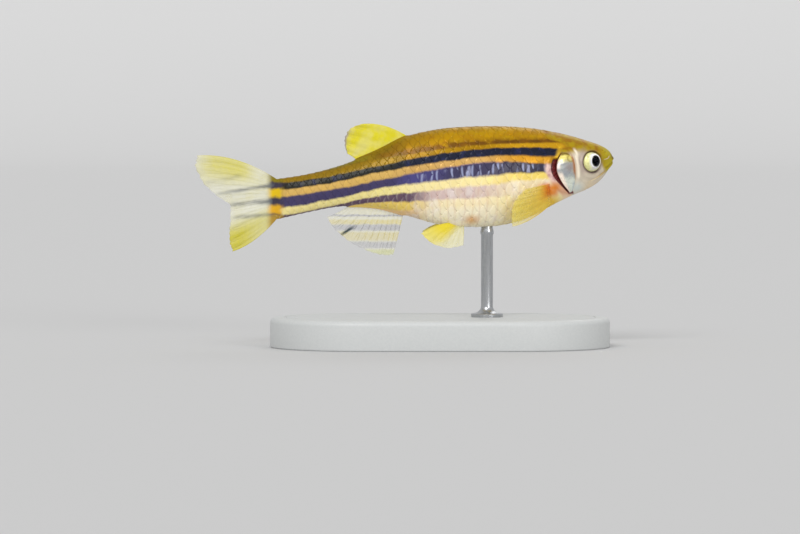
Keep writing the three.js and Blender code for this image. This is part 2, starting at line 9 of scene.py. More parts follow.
import bpy
import numpy as np
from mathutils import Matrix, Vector


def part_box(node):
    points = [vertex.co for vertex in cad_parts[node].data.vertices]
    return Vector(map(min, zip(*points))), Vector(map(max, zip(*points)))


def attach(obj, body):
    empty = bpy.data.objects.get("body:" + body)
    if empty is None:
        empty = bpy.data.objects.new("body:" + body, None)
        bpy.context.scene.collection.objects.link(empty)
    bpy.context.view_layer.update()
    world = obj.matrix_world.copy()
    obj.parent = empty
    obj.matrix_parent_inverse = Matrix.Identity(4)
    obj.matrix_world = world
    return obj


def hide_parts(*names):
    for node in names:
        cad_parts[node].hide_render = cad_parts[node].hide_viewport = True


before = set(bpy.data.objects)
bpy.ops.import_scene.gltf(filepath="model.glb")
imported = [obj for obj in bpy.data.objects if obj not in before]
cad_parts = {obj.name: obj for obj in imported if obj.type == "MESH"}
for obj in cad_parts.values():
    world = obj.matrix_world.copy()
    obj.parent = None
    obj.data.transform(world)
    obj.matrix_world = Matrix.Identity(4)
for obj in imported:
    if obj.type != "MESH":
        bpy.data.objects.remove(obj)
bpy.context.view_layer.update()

bl_info = {
    "name": "Zebra Danio Model",
    "version": (1, 0, 0),
    "blender": (4, 5, 0),
    "location": "View3D > Sidebar > Danio",
    "description": "Builds a life-size zebra danio with scales, rayed fins and a display stand",
    "category": "Add Mesh",
}

MM = 0.001
SEED = 7

# The body's cross-sections from the snout back: share of the length, then back and belly as shares of
# the depth, half width as a share of half the width, where it is widest, and how boxy it is.
STATIONS = np.array([
    (0, 0.677, 0.673, 0, 0.5, 2),
    (0.003, 0.718, 0.628, 0.16, 0.5, 2.2),
    (0.0167, 0.776, 0.56, 0.31, 0.52, 2.3),
    (0.0405, 0.82, 0.458, 0.45, 0.56, 2.3),
    (0.0762, 0.861, 0.378, 0.585, 0.58, 2.3),
    (0.1238, 0.909, 0.312, 0.715, 0.56, 2.2),
    (0.1744, 0.95, 0.23, 0.82, 0.52, 2.1),
    (0.2488, 0.99, 0.1, 0.935, 0.47, 2.1),
    (0.3381, 1.008, 0.015, 1, 0.43, 2.15),
    (0.4274, 1.005, 0, 0.985, 0.42, 2.15),
    (0.5256, 0.976, 0.03, 0.87, 0.44, 2.1),
    (0.6149, 0.908, 0.115, 0.71, 0.47, 2),
    (0.7101, 0.752, 0.198, 0.56, 0.5, 2),
    (0.8143, 0.615, 0.205, 0.43, 0.5, 2),
    (0.9185, 0.525, 0.14, 0.33, 0.5, 2.1),
    (1, 0.482, 0.077, 0.25, 0.5, 2.3),
])
BACK, BELLY, WIDE, LEVEL, SQUARE = 1, 2, 3, 4, 5

# Heights of the stripes' edges, from the back down, at places along the body
STRIPE_X = (-17, -15, -10.4, -7.3, -4.5, 0.9, 5.8, 9.6, 12.5)
STRIPE_EDGES = (
    (5.2, 5.3, 6.2, 7.1, 7.45, 8.3, 8.68, 8.7, 8.75),  # brown line, top
    (5.0, 5.1, 5.9, 6.7, 7.1, 7.98, 8.34, 8.45, 8.55),  # brown line, bottom
    (4.3, 4.42, 5.12, 5.8, 6.4, 7.47, 7.93, 7.92, 7.7),  # upper dark stripe, top
    (3.8, 3.87, 4.54, 5.3, 5.85, 6.75, 7.23, 7.17, 7.05),  # upper dark stripe, bottom
    (3.0, 3.05, 3.75, 4.35, 4.95, 6.0, 6.53, 6.25, 6.1),  # middle dark stripe, top
    (1.9, 2.05, 2.92, 3.62, 4.23, 4.85, 5.45, 5.52, 5.45),  # middle dark stripe, bottom
    (0.9, 1.2, 2.15, 2.85, 3.25, 3.8, 4.35, 4.7, 4.6),  # low stripe, top
    (0.5, 0.9, 1.8, 2.45, 2.6, 2.9, 3.2, 3.4, 3.4),  # low stripe, bottom
    (0.2, 0.6, 1.5, 1.9, 1.7, 2.0, 2.2, 2.4, 2.4),  # yellow line, bottom
)
BANDS = 11  # from the crest of the back, at -1, to the belly's keel, at 10

# Places on the head, seen from the side
SNOUT_X = 17.36
GILL_TOP, GILL_BOTTOM = 7.45, 3.45
GILL_HEIGHTS = (1.6, 2.6, 3.5, 4.07, 4.96, 5.6, 6.55, 7.5, 8.4, 10.6)
GILL_EDGE = (14.1, 13.25, 12.5, 11.86, 11.2, 10.92, 11, 11.5, 11.75, 11.85)
CHEEK_HEIGHTS = (3.2, 3.8, 4.6, 5.6, 6.4, 7.1, 7.8)
CHEEK_EDGE = (12.75, 12.9, 12.92, 12.86, 12.76, 12.55, 12.2)
CROWN_X = (10.5, 11.6, 12.4, 13.2, 14.0, 14.9, 15.6, 16.1, 16.7, 17.4)
CROWN_EDGE = (7.2, 7.2, 7.35, 7.6, 7.45, 7.3, 6.5, 5.7, 5.3, 5.2)  # where the olive crown meets the cheek
EYE_X, EYE_Z = 14.72, 6.5
EYE_SINK = 0.34  # how far the eyeball's middle lies under the skin
NOSTRILS = ((16.28, 7.42), (15.95, 7.62))
MOUTH_TIP = (17.36, 6.7)
MOUTH_CORNER = (16.35, 5.88)
SLIT = 0.4  # width of the gill strip that shows behind the cover
SLIT_TOP = 6.8
FILAMENT_PITCH = 0.062
STRAIGHT_AT_X = -6.2  # where the midline runs along the frame's own x

POINTS_AROUND = 256
TAIL_FLARE = 0.4  # how far the skin runs on over the tail fin's root
TAIL_SQUEEZE = 0.965  # how much thinner it is at its end


def srgb(red, green, blue):
    """A colour given as 0 to 255, as the renderer's own linear numbers."""
    share = np.array([red, green, blue]) / 255
    return tuple(np.where(share <= 0.04045, share / 12.92, ((share + 0.055) / 1.055) ** 2.4))


# Sizes and colours that a user would change


def length(name, description, size, high=0.2):
    """A length property, given in millimetres."""
    return bpy.props.FloatProperty(
        name=name, description=description, default=size * MM, min=0, max=high, unit="LENGTH", precision=5
    )


def colour(name, description, *shade):
    """A colour property, given as 0 to 255."""
    return bpy.props.FloatVectorProperty(
        name=name, description=description, default=srgb(*shade), subtype="COLOR", size=3, min=0, max=1
    )


def share(name, description, value, high=1.0):
    """A plain number from nought up."""
    return bpy.props.FloatProperty(name=name, description=description, default=value, min=0, max=high)


class DanioBody(bpy.types.PropertyGroup):
    """Sizes and colours of the body and its scales."""

    standard_length: length("Standard length", "Snout to the end of the tail stalk", 33.6)
    depth: length("Depth", "Back to belly, without fins", 10)
    width: length("Width", "Across the flanks", 6)
    belly_height: length("Belly height", "Belly's lowest point above the floor", 12)
    bend: share("Bend", "How much the midline's slope grows for each millimetre", 0.0155)
    coat_depth: length("Coat depth", "How far the scales stand on the skin", 0.027)
    scale_spacing: length("Scale spacing", "From scale to scale along a row", 0.98)
    row_pitch: length("Row pitch", "From row to row of scales at the deepest part", 0.7)
    back: colour("Back", "Olive gold of the back", 184, 142, 0)
    brown: colour("Brown line", "Thin line along the back", 94, 58, 12)
    thin_gold: colour("Thin gold", "Line above the upper dark stripe", 204, 154, 22)
    upper_stripe: colour("Upper stripe", "Blue-black stripe", 24, 28, 48)
    gold: colour("Gold", "Between the two dark stripes", 198, 158, 92)
    middle_stripe: colour("Middle stripe", "Blue-violet stripe", 74, 70, 126)
    cream: colour("Cream", "Under the middle stripe", 244, 226, 162)
    low_stripe: colour("Low stripe", "Violet-brown stripe towards the tail", 100, 80, 100)
    yellow: colour("Yellow line", "Above the belly", 240, 208, 110)
    belly: colour("Belly", "Cream of the belly", 253, 242, 212)


class DanioHead(bpy.types.PropertyGroup):
    """Sizes and colours of the head, the gill covers, the barbels and the eyes."""

    eye_diameter: length("Eye diameter", "Across the eyeball", 1.98)
    eye_depth: length("Eye depth", "Front to back of the eyeball", 1.7)
    pupil_width: length("Pupil width", "Along the head", 0.8)
    pupil_height: length("Pupil height", "Up and down", 1.02)
    barbel_radius: length("Barbel radius", "At the root", 0.088)
    crown: colour("Crown", "Olive yellow of the crown and snout", 170, 142, 10)
    cheek: colour("Cheek", "Silvery cream of the cheeks", 216, 202, 180)
    chin: colour("Chin", "Cream of the chin and throat", 228, 206, 170)
    cover: colour("Gill cover", "Silver of the gill covers", 176, 180, 170)
    cover_gold: colour("Gill cover, top", "Gold at the top of the covers", 228, 210, 110)
    gills: colour("Gills", "Dark red of the filaments", 104, 24, 30)
    iris_rim: colour("Iris rim", "Yellow green of the iris's outer ring", 255, 250, 176)
    iris: colour("Iris", "Silver white round the pupil", 252, 250, 255)


class DanioFins(bpy.types.PropertyGroup):
    """Sizes and colours of the fins."""

    membrane: length("Membrane", "Thickness at the root", 0.09)
    ray_radius: length("Ray radius", "At the root", 0.052)
    dorsal: colour("Back fin", "Bright yellow of the dorsal fin", 226, 214, 20)
    clear: colour("Clear", "Pale cream of the clear parts", 236, 234, 210)
    grey: colour("Grey", "Lilac grey of the fin stripes", 160, 160, 174)


class DanioStand(bpy.types.PropertyGroup):
    """Sizes and colours of the display stand."""

    base_length: length("Base length", "End to end", 34)
    base_width: length("Base width", "Front to back", 19)
    base_height: length("Base height", "Thickness of the base", 3)
    base_round: length("Base rounding", "Of its upper and lower edge", 0.55)
    rod_radius: length("Rod radius", "Of the upright rod", 0.6)
    flange_radius: length("Flange radius", "Of the rod's foot", 1.6)
    base_colour: colour("Base colour", "Satin pale grey", 198, 200, 199)
    rod_colour: colour("Rod colour", "Brushed steel", 196, 198, 200)


class DanioStage(bpy.types.PropertyGroup):
    """The studio and the camera."""

    cove_radius: length("Cove radius", "From the model to the rim of the round floor", 4000, high=9)
    camera_distance: length("Camera distance", "From the camera to the fish", 400, high=5)
    lens: bpy.props.FloatProperty(name="Lens", description="Focal length", default=180, min=20, unit="CAMERA")
    key: share("Key light", "Strength of the main light, from above the camera", 1.4, high=20)
    fill: share("Fill light", "Strength of the light from low on the right", 0.8, high=20)
    back: share("Back light", "Strength of the light from behind", 0.3, high=20)
    sky: share("Sky", "Strength of the light from all round", 0.62, high=10)
    paper: colour("Paper", "Pale grey of the floor and its rim", 200, 200, 200)


# Curves and the body's surface


def smooth(knots, values, at):
    """A smooth curve through uneven knots, read at many places."""
    knots, values, at = (np.asarray(v, float) for v in (knots, values, at))
    span = np.diff(knots)
    rise = np.diff(values) / span
    inner = (rise[:-1] * span[1:] + rise[1:] * span[:-1]) / (span[:-1] + span[1:])
    slope = np.concatenate([rise[:1], inner, rise[-1:]])
    i = np.clip(np.searchsorted(knots, at) - 1, 0, len(span) - 1)
    t = np.clip((at - knots[i]) / span[i], 0, 1)
    start = values[i] * (2 * t**3 - 3 * t**2 + 1) + span[i] * slope[i] * (t**3 - 2 * t**2 + t)
    return start + values[i + 1] * (3 * t**2 - 2 * t**3) + span[i] * slope[i + 1] * (t**3 - t**2)


def step(value, low, high):
    """0 below low, 1 above high and smooth between; the other way round where low is the larger."""
    t = np.clip((value - low) / (high - low), 0, 1)
    return t * t * (3 - 2 * t)


def bump(value, width):
    """1 at nought, falling away over the width."""
    return np.exp(-((value / width) ** 2))


def through(points, at):
    """A centripetal curve through given points, read at shares from the first to the last."""
    points = np.array(points, float)
    points = np.vstack([2 * points[0] - points[1], points, 2 * points[-1] - points[-2]])
    place = np.clip(np.asarray(at, float), 0, 1) * (len(points) - 3)
    i = np.minimum(place.astype(int), len(points) - 4)
    t = (place - i)[..., None]
    p0, p1, p2, p3 = (points[i + k] for k in range(4))
    steps = (p1 - p0, p2 - p1, p3 - p2)
    d0, d1, d2 = (np.sqrt(np.linalg.norm(way, axis=-1))[..., None] for way in steps)
    leave = ((p1 - p0) / d0 - (p2 - p0) / (d0 + d1) + (p2 - p1) / d1) * d1
    reach = ((p2 - p1) / d1 - (p3 - p1) / (d1 + d2) + (p3 - p2) / d2) * d1
    square = -3 * p1 + 3 * p2 - 2 * leave - reach
    cube = 2 * p1 - 2 * p2 + leave + reach
    return p1 + leave * t + square * t**2 + cube * t**3


class Body:
    """The fish's shape and the bend of its midline, read from the body's sizes."""

    def __init__(self, sizes):
        self.length, self.depth, self.width = (
            v / MM for v in (sizes.standard_length, sizes.depth, sizes.width)
        )
        self.belly_height = sizes.belly_height / MM
        self.slope = sizes.bend
        self.tail_x = SNOUT_X - self.length
        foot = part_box("stand_rod")
        self.rod_x = (foot[0][0] + foot[1][0]) / 2 / MM

    def section(self, x):
        """Back, belly, half width, height of the widest place and boxiness at x."""
        root = np.sqrt(np.clip((SNOUT_X - np.asarray(x, float)) / self.length, 0, 1))
        back, belly, wide, level, square = (
            smooth(np.sqrt(STATIONS[:, 0]), STATIONS[:, column], root)
            for column in (BACK, BELLY, WIDE, LEVEL, SQUARE)
        )
        back, belly, wide = back * self.depth, belly * self.depth, wide * self.width / 2
        return back, belly, wide, belly + level * (back - belly), square

    def flank(self, x, z):
        """Half the width at a place seen from the side."""
        back, belly, wide, middle, square = self.section(x)
        reach = np.where(z > middle, back - middle, middle - belly)
        beyond = np.clip(np.abs(z - middle) / np.maximum(reach, 1e-6), 0, 1)
        return wide * (1 - beyond**square) ** (1 / square)

    def underside(self, x, side):
        """Height of the underside at a place seen from below."""
        _, belly, wide, middle, square = self.section(x)
        beyond = np.clip(np.abs(side) / wide, 0, 1)
        return middle - (middle - belly) * (1 - beyond**square) ** (1 / square)

    def around(self, x, turn):
        """Points of the surface at x, where turn is nought on the back and grows to the left."""
        back, belly, wide, middle, square = self.section(x)
        up, out = np.cos(turn), np.sin(turn)
        reach = np.where(up > 0, back - middle, middle - belly)
        height = middle + reach * np.sign(up) * np.abs(up) ** (2 / square)
        side = wide * np.sign(out) * np.abs(out) ** (2 / square)
        return np.stack(np.broadcast_arrays(x, side, height), axis=-1)

    def outward(self, x, side, z):
        """The way out of the flank at one place."""
        near = 0.05
        along = (self.flank(x + near, z) - self.flank(x - near, z)) / (2 * near)
        up = (self.flank(x, z + near) - self.flank(x, z - near)) / (2 * near)
        way = np.array([-float(along), side, -float(up)])
        return way / np.linalg.norm(way)

    def eye_middle(self, hand):
        return np.array([EYE_X, hand * float(self.flank(EYE_X, EYE_Z)), EYE_Z])

    def eye_distance(self, x, side, z):
        """How far places lie from the middle of their side's eye, seen along its axis."""
        out = self.outward(EYE_X, -1, EYE_Z)
        away = np.stack([x, -np.abs(side), z], -1) - self.eye_middle(-1)
        deep = away @ out
        return np.linalg.norm(away - deep[..., None] * out, axis=-1)

    def tail_share(self, x):
        """The share of its width that the skin keeps as it thins out over the tail fin's root."""
        return 1 - TAIL_SQUEEZE * step(x, self.tail_x + 1.1, self.tail_x - TAIL_FLARE)

    def midline(self, x):
        """How far the midline lies to the left at x."""
        return self.slope * ((x - STRAIGHT_AT_X) ** 2 - (self.rod_x - STRAIGHT_AT_X) ** 2) / 2

    def bent(self, points):
        """From the straight fish in millimetres to the frame in metres."""
        x, side, z = np.moveaxis(np.asarray(points, float), -1, 0)
        yaw = np.arctan(self.slope * (x - STRAIGHT_AT_X))
        place = (x - np.sin(yaw) * side, self.midline(x) + np.cos(yaw) * side, z + self.belly_height)
        return np.stack(place, axis=-1) * MM

    def straightened(self, places):
        """From the frame in metres back to the straight fish."""
        ahead, left, z = np.moveaxis(np.asarray(places, float) / MM, -1, 0)
        x = ahead
        for _ in range(8):
            yaw = np.arctan(self.slope * (x - STRAIGHT_AT_X))
            side = (left - self.midline(x)) / np.cos(yaw)
            x = ahead + np.sin(yaw) * side
        return np.stack([x, side, z - self.belly_height], axis=-1)


def gill_edge(z):
    return smooth(GILL_HEIGHTS, GILL_EDGE, np.clip(z, GILL_HEIGHTS[0], GILL_HEIGHTS[-1]))


def cheek_edge(z):
    return smooth(CHEEK_HEIGHTS, CHEEK_EDGE, np.clip(z, CHEEK_HEIGHTS[0], CHEEK_HEIGHTS[-1]))


def slit_share(z):
    """The gill slit narrows towards the throat."""
    return 0.45 + 0.55 * step(z, 3.8, 5.2)


def round_ends(z, least):
    """The share of its full width that the gill cover keeps at a height."""
    beyond = np.clip(np.abs((2 * z - GILL_TOP - GILL_BOTTOM) / (GILL_TOP - GILL_BOTTOM)), 0, 1)
    return least + (1 - least) * np.sqrt(1 - beyond**6)


# Meshes


def grid_faces(rows, columns, closed=False, first=0):
    """Four-sided faces between the points of a grid, whose columns may close on themselves."""
    r, c = np.meshgrid(np.arange(rows - 1), np.arange(columns if closed else columns - 1), indexing="ij")
    after = (c + 1) % columns
    here, beyond = r * columns, (r + 1) * columns
    quads = np.stack([here + c, here + after, beyond + after, beyond + c], -1)
    return (quads.reshape(-1, 4) + first).tolist()


def fan_ends(rings, columns):
    """Faces from the two points that follow a tube's rings to its first and its last ring."""
    first, last = rings * columns, rings * columns + 1
    faces = []
    for k in range(columns):
        after = (k + 1) % columns
        faces.append([first, after, k])
        faces.append([last, (rings - 1) * columns + k, (rings - 1) * columns + after])
    return faces


def flat_ends(rings, columns):
    """One many-sided face over each end of a tube."""
    return [list(range(columns))[::-1], [(rings - 1) * columns + k for k in range(columns)]]


def once_round(count):
    """Even turns, once round."""
    return 2 * np.pi * np.arange(count) / count


def lathe(profile, count):
    """Rings of points about the upright axis, from (radius, height)."""
    turn = once_round(count)
    rings = [[r * np.cos(turn), r * np.sin(turn), np.full(count, h)] for r, h in profile]
    return np.stack([np.stack(ring, -1) for ring in rings])


def plate_faces(rows, columns):
    """Faces of a thin closed plate: an upper grid, then a lower one, joined round the rim."""
    count = rows * columns
    upper = grid_faces(rows, columns)
    lower = [[count + v for v in reversed(face)] for face in upper]
    rim = [c for c in range(columns)] + [r * columns + columns - 1 for r in range(1, rows)]
    rim += [(rows - 1) * columns + c for c in range(columns - 2, -1, -1)]
    rim += [r * columns for r in range(rows - 2, 0, -1)]
    edge = [[q, p, count + p, count + q] for p, q in zip(rim, rim[1:] + rim[:1])]
    return upper + lower + edge


def placed(name, data):
    """A new object in the scene."""
    thing = bpy.data.objects.new(name, data)
    bpy.context.scene.collection.objects.link(thing)
    return thing


def new_piece(name, places, faces, material=None, edges=()):
    """A smooth mesh object at the origin, from places in metres."""
    mesh = bpy.data.meshes.new(name)
    mesh.from_pydata(np.asarray(places).reshape(-1, 3).tolist(), list(edges), faces)
    mesh.validate()
    if faces and signed_volume(mesh) < 0:
        mesh.flip_normals()
    mesh.shade_smooth()
    if material:
        mesh.materials.append(material)
    return placed(name, mesh)


def points_of(mesh):
    """A mesh's vertices as an array."""
    flat = np.empty(len(mesh.vertices) * 3)
    mesh.vertices.foreach_get("co", flat)
    return flat.reshape(-1, 3)


def signed_volume(mesh):
    """More than nought where the faces point outwards."""
    mesh.calc_loop_triangles()
    corners = np.empty(len(mesh.loop_triangles) * 3, int)
    mesh.loop_triangles.foreach_get("vertices", corners)
    a, b, c = points_of(mesh)[corners].reshape(-1, 3, 3).transpose(1, 0, 2)
    return float(np.einsum("ij,ij->", a, np.cross(b, c)))


def give(mesh, name, values):
    """Stores a number, or a vector, for each vertex."""
    values = np.asarray(values, float)
    kind, key = ("FLOAT", "value") if values.ndim == 1 else ("FLOAT_VECTOR", "vector")
    mesh.attributes.new(name, kind, "POINT").data.foreach_set(key, values.ravel())


def read(mesh, name):
    """The vectors stored for each vertex."""
    flat = np.empty(len(mesh.vertices) * 3)
    mesh.attributes[name].data.foreach_get("vector", flat)
    return flat.reshape(-1, 3)


def give_map(mesh, name, corners):
    """Stores a UV map from a place for each face corner."""
    mesh.uv_layers.new(name=name).data.foreach_set("uv", np.asarray(corners, float).ravel())


def corner_vertices(mesh):
    """The vertex at each face corner."""
    found = np.empty(len(mesh.loops), int)
    mesh.loops.foreach_get("vertex_index", found)
    return found


def finish_piece(piece, slot, *nodes):
    """Hands a finished piece to the frame."""
    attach(piece, "root")
    if nodes:
        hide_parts(*nodes)


# Geometry node trees


class Tree:
    """Short calls that add nodes to a geometry node tree."""

    def __init__(self, name, *inputs):
        self.tree = bpy.data.node_groups.new(name, "GeometryNodeTree")
        self.tree.interface.new_socket("Geometry", in_out="INPUT", socket_type="NodeSocketGeometry")
        for label, kind in inputs:
            self.tree.interface.new_socket(label, in_out="INPUT", socket_type=kind)
        self.tree.interface.new_socket("Geometry", in_out="OUTPUT", socket_type="NodeSocketGeometry")
        self.given = self.tree.nodes.new("NodeGroupInput").outputs

    def add(self, kind, settings=None, *first, **inputs):
        """Adds a node and returns its outputs. An input's value may be a socket, and _ is a space."""
        node = self.tree.nodes.new(kind)
        for key, value in (settings or {}).items():
            setattr(node, key, value)
        fed = list(zip(node.inputs, first))
        for key, value in inputs.items():
            name = key.replace("_", " ")
            fed.append((next(s for s in node.inputs if s.name == name and s.enabled), value))
        for socket, value in fed:
            if isinstance(value, bpy.types.NodeSocket):
                self.tree.links.new(value, socket)
            else:
                socket.default_value = value
        return node.outputs

    def named(self, name, kind="FLOAT_VECTOR"):
        return self.add("GeometryNodeInputNamedAttribute", {"data_type": kind}, Name=name)[0]

    def end(self, geometry):
        """Realizes, smooths, sets the material and ends the tree."""
        real = self.add("GeometryNodeRealizeInstances", Geometry=geometry)[0]
        soft = self.add("GeometryNodeSetShadeSmooth", Geometry=real)[0]
        done = self.add("GeometryNodeSetMaterial", Geometry=soft, Material=self.given["Material"])
        self.tree.links.new(done[0], self.tree.nodes.new("NodeGroupOutput").inputs[0])
        return self.tree


def sweep_tree():
    """Turns each line of a wire mesh into a round, tapered strand as thick as its points say."""
    made = Tree("tapered strands", ("Sides", "NodeSocketInt"), ("Material", "NodeSocketMaterial"))
    line = made.add("GeometryNodeMeshToCurve", Mesh=made.given["Geometry"])[0]
    ring = made.add("GeometryNodeCurvePrimitiveCircle", Resolution=made.given["Sides"], Radius=1.0)[0]
    thick = made.named("thick", "FLOAT")
    inputs = {"Curve": line, "Profile_Curve": ring, "Scale": thick, "Fill_Caps": True}
    return made.end(made.add("GeometryNodeCurveToMesh", **inputs)[0])


def coat_tree():
    """Sets a small plate at each point of a flat layout, and wraps the layout on the flanks."""
    made = Tree(
        "wrapped coat",
        ("Plate", "NodeSocketObject"),
        ("Flank sheet", "NodeSocketObject"),
        ("Lift", "NodeSocketFloat"),
        ("Material", "NodeSocketMaterial"),
    )
    plate = made.add("GeometryNodeObjectInfo", Object=made.given["Plate"])["Geometry"]
    sheet = made.add("GeometryNodeObjectInfo", Object=made.given["Flank sheet"])["Geometry"]
    turn = made.add("ShaderNodeCombineXYZ", Z=made.named("turn", "FLOAT"))[0]
    laid = made.add(
        "GeometryNodeInstanceOnPoints",
        Points=made.given["Geometry"],
        Instance=plate,
        Rotation=made.add("FunctionNodeEulerToRotation", Euler=turn)[0],
        Scale=made.named("size"),
    )
    flat = made.add("GeometryNodeRealizeInstances", Geometry=laid[0])[0]
    here = made.add("GeometryNodeInputPosition")[0]
    height = made.add("ShaderNodeSeparateXYZ", Vector=here)["Z"]
    lifted = made.add("ShaderNodeMath", {"operation": "ADD"}, height, made.given["Lift"])[0]
    metres = made.add("ShaderNodeMath", {"operation": "MULTIPLY"}, lifted, MM)[0]
    spot = made.add("ShaderNodeVectorMath", {"operation": "SCALE"}, here, Scale=LAYOUT_TO_UV)[0]

    def on_flank(value):
        kind = {"data_type": "FLOAT_VECTOR"}
        fed = {"Mesh": sheet, "Value": value, "UV_Map": made.named("flat"), "Sample_UV": spot}
        return made.add("GeometryNodeSampleUVSurface", kind, **fed)[0]

    out = on_flank(made.named("out"))
    out = made.add("ShaderNodeVectorMath", {"operation": "SCALE"}, out, Scale=metres)[0]
    place = on_flank(made.add("GeometryNodeInputPosition")[0])
    return made.end(made.add("GeometryNodeSetPosition", Geometry=flat, Position=place, Offset=out)[0])


def grown(name, source, tree, **inputs):
    """Runs a tree on an object and returns its result as a plain mesh object at the origin."""
    modifier = source.modifiers.new(tree.name, "NODES")
    modifier.node_group = tree
    for item in tree.interface.items_tree:
        if item.in_out == "INPUT" and item.name.replace(" ", "_") in inputs:
            modifier[item.identifier] = inputs[item.name.replace(" ", "_")]
    mesh = bpy.data.meshes.new_from_object(source.evaluated_get(bpy.context.evaluated_depsgraph_get()))
    source.modifiers.remove(modifier)
    bpy.data.objects.remove(source)
    if len(mesh.polygons) == 0:
        raise RuntimeError(f"{name}: the node tree made nothing")
    if signed_volume(mesh) < 0:
        mesh.flip_normals()
    mesh.name = name
    return placed(name, mesh)


# Materials


class Shades:
    """Short calls that add nodes to one material."""

    def __init__(self, name, **plain):
        self.material = bpy.data.materials.new(name)
        self.material.use_nodes = True
        self.nodes = self.material.node_tree.nodes
        self.links = self.material.node_tree.links
        self.shader = self.nodes["Principled BSDF"]
        self.paint = None
        for key, value in plain.items():
            self.shader.inputs[key.replace("_", " ")].default_value = value

    def put(self, socket, value):
        if isinstance(value, bpy.types.NodeSocket):
            self.links.new(value, socket)
        elif socket.type == "RGBA":
            socket.default_value = (*value[:3], 1)
        else:
            socket.default_value = value

    def to(self, name, value):
        """Feeds one of the shader's own sockets."""
        self.put(self.shader.inputs[name], value)

    def attribute(self, name):
        node = self.nodes.new("ShaderNodeAttribute")
        node.attribute_name = name
        return node.outputs["Fac"]

    def attributes(self, *names):
        return [self.attribute(name) for name in names]

    def math(self, operation, a, b=0.0, clamp=False):
        node = self.nodes.new("ShaderNodeMath")
        node.operation = operation
        node.use_clamp = clamp
        self.put(node.inputs[0], a)
        self.put(node.inputs[1], b)
        return node.outputs[0]

    def plus(self, a, b):
        return self.math("ADD", a, b)

    def minus(self, a, b):
        return self.math("SUBTRACT", a, b)

    def ease(self, value, low, high, start=0.0, end=1.0):
        """start below low, end above high and smooth between; the edges may be given falling."""
        node = self.nodes.new("ShaderNodeMapRange")
        node.interpolation_type = "SMOOTHSTEP"
        if low > high:
            low, high, start, end = high, low, end, start
        keys = ("Value", "From Min", "From Max", "To Min", "To Max")
        for key, number in zip(keys, (value, low, high, start, end)):
            self.put(node.inputs[key], number)
        return node.outputs["Result"]

    def near(self, value, centre, width):
        """1 at the centre and 0 from the width outwards."""
        return self.ease(self.math("ABSOLUTE", self.minus(value, centre)), width, 0)

    def between(self, value, low, high, soft):
        """1 between two edges, with soft flanks."""
        rise, fall = self.ease(value, low - soft, low + soft), self.ease(value, high + soft, high - soft)
        return self.all_of(rise, fall)

    def all_of(self, *factors):
        made = factors[0]
        for factor in factors[1:]:
            made = self.math("MULTIPLY", made, factor)
        return made

    def mix(self, factor, a, b, blend="MIX"):
        node = self.nodes.new("ShaderNodeMix")
        node.data_type = "RGBA"
        node.blend_type = blend
        self.put(node.inputs[0], factor)
        self.put(node.inputs[6], a)
        self.put(node.inputs[7], b)
        return node.outputs[2]

    def over(self, paint, shade, *factors):
        """A colour laid over another as far as all the factors say."""
        return self.mix(self.all_of(*factors), paint, shade)

    def lay(self, shade, *factors):
        """Lays a colour over what is painted so far."""
        self.paint = self.over(self.paint, shade, *factors)

    def ramp(self, value, stops):
        """A colour ramp through (place, colour) stops."""
        node = self.nodes.new("ShaderNodeValToRGB")
        elements = node.color_ramp.elements
        elements[0].position, elements[0].color = stops[0][0], (*stops[0][1][:3], 1)
        elements[1].position, elements[1].color = stops[-1][0], (*stops[-1][1][:3], 1)
        for place, shade in stops[1:-1]:
            elements.new(place).color = (*shade[:3], 1)
        self.put(node.inputs[0], value)
        return node.outputs[0]

    def object_place(self, stretch):
        """Object coordinates in millimetres, stretched."""
        place = self.nodes.new("ShaderNodeTexCoord").outputs["Object"]
        node = self.nodes.new("ShaderNodeMapping")
        node.inputs["Scale"].default_value = [s / MM for s in stretch]
        self.links.new(place, node.inputs["Vector"])
        return node.outputs[0]

    def noise(self, scale, detail=3.0, stretch=(1, 1, 1)):
        """Noise with that many blobs to the millimetre, from 0 to 1 round a half."""
        node = self.nodes.new("ShaderNodeTexNoise")
        self.links.new(self.object_place(stretch), node.inputs["Vector"])
        node.inputs["Scale"].default_value = scale
        node.inputs["Detail"].default_value = detail
        return node.outputs["Fac"]

    def wander(self, value, size, scale, detail=3.0, stretch=(1, 1, 1)):
        """A value moved up and down by noise, over a range of that size."""
        off = self.minus(self.noise(scale, detail, stretch), 0.5)
        return self.plus(value, self.all_of(off, size))

    def apart(self, a, b):
        """The length of a step of a one way and b the other."""
        square = self.plus(self.all_of(a, a), self.all_of(b, b))
        return self.math("SQRT", square)

    def relief(self, height, size, strength):
        """Bump from a height of 0 to 1 that stands for that many millimetres."""
        node = self.nodes.new("ShaderNodeBump")
        node.inputs["Strength"].default_value = strength
        node.inputs["Distance"].default_value = size * MM
        self.put(node.inputs["Height"], height)
        self.to("Normal", node.outputs[0])


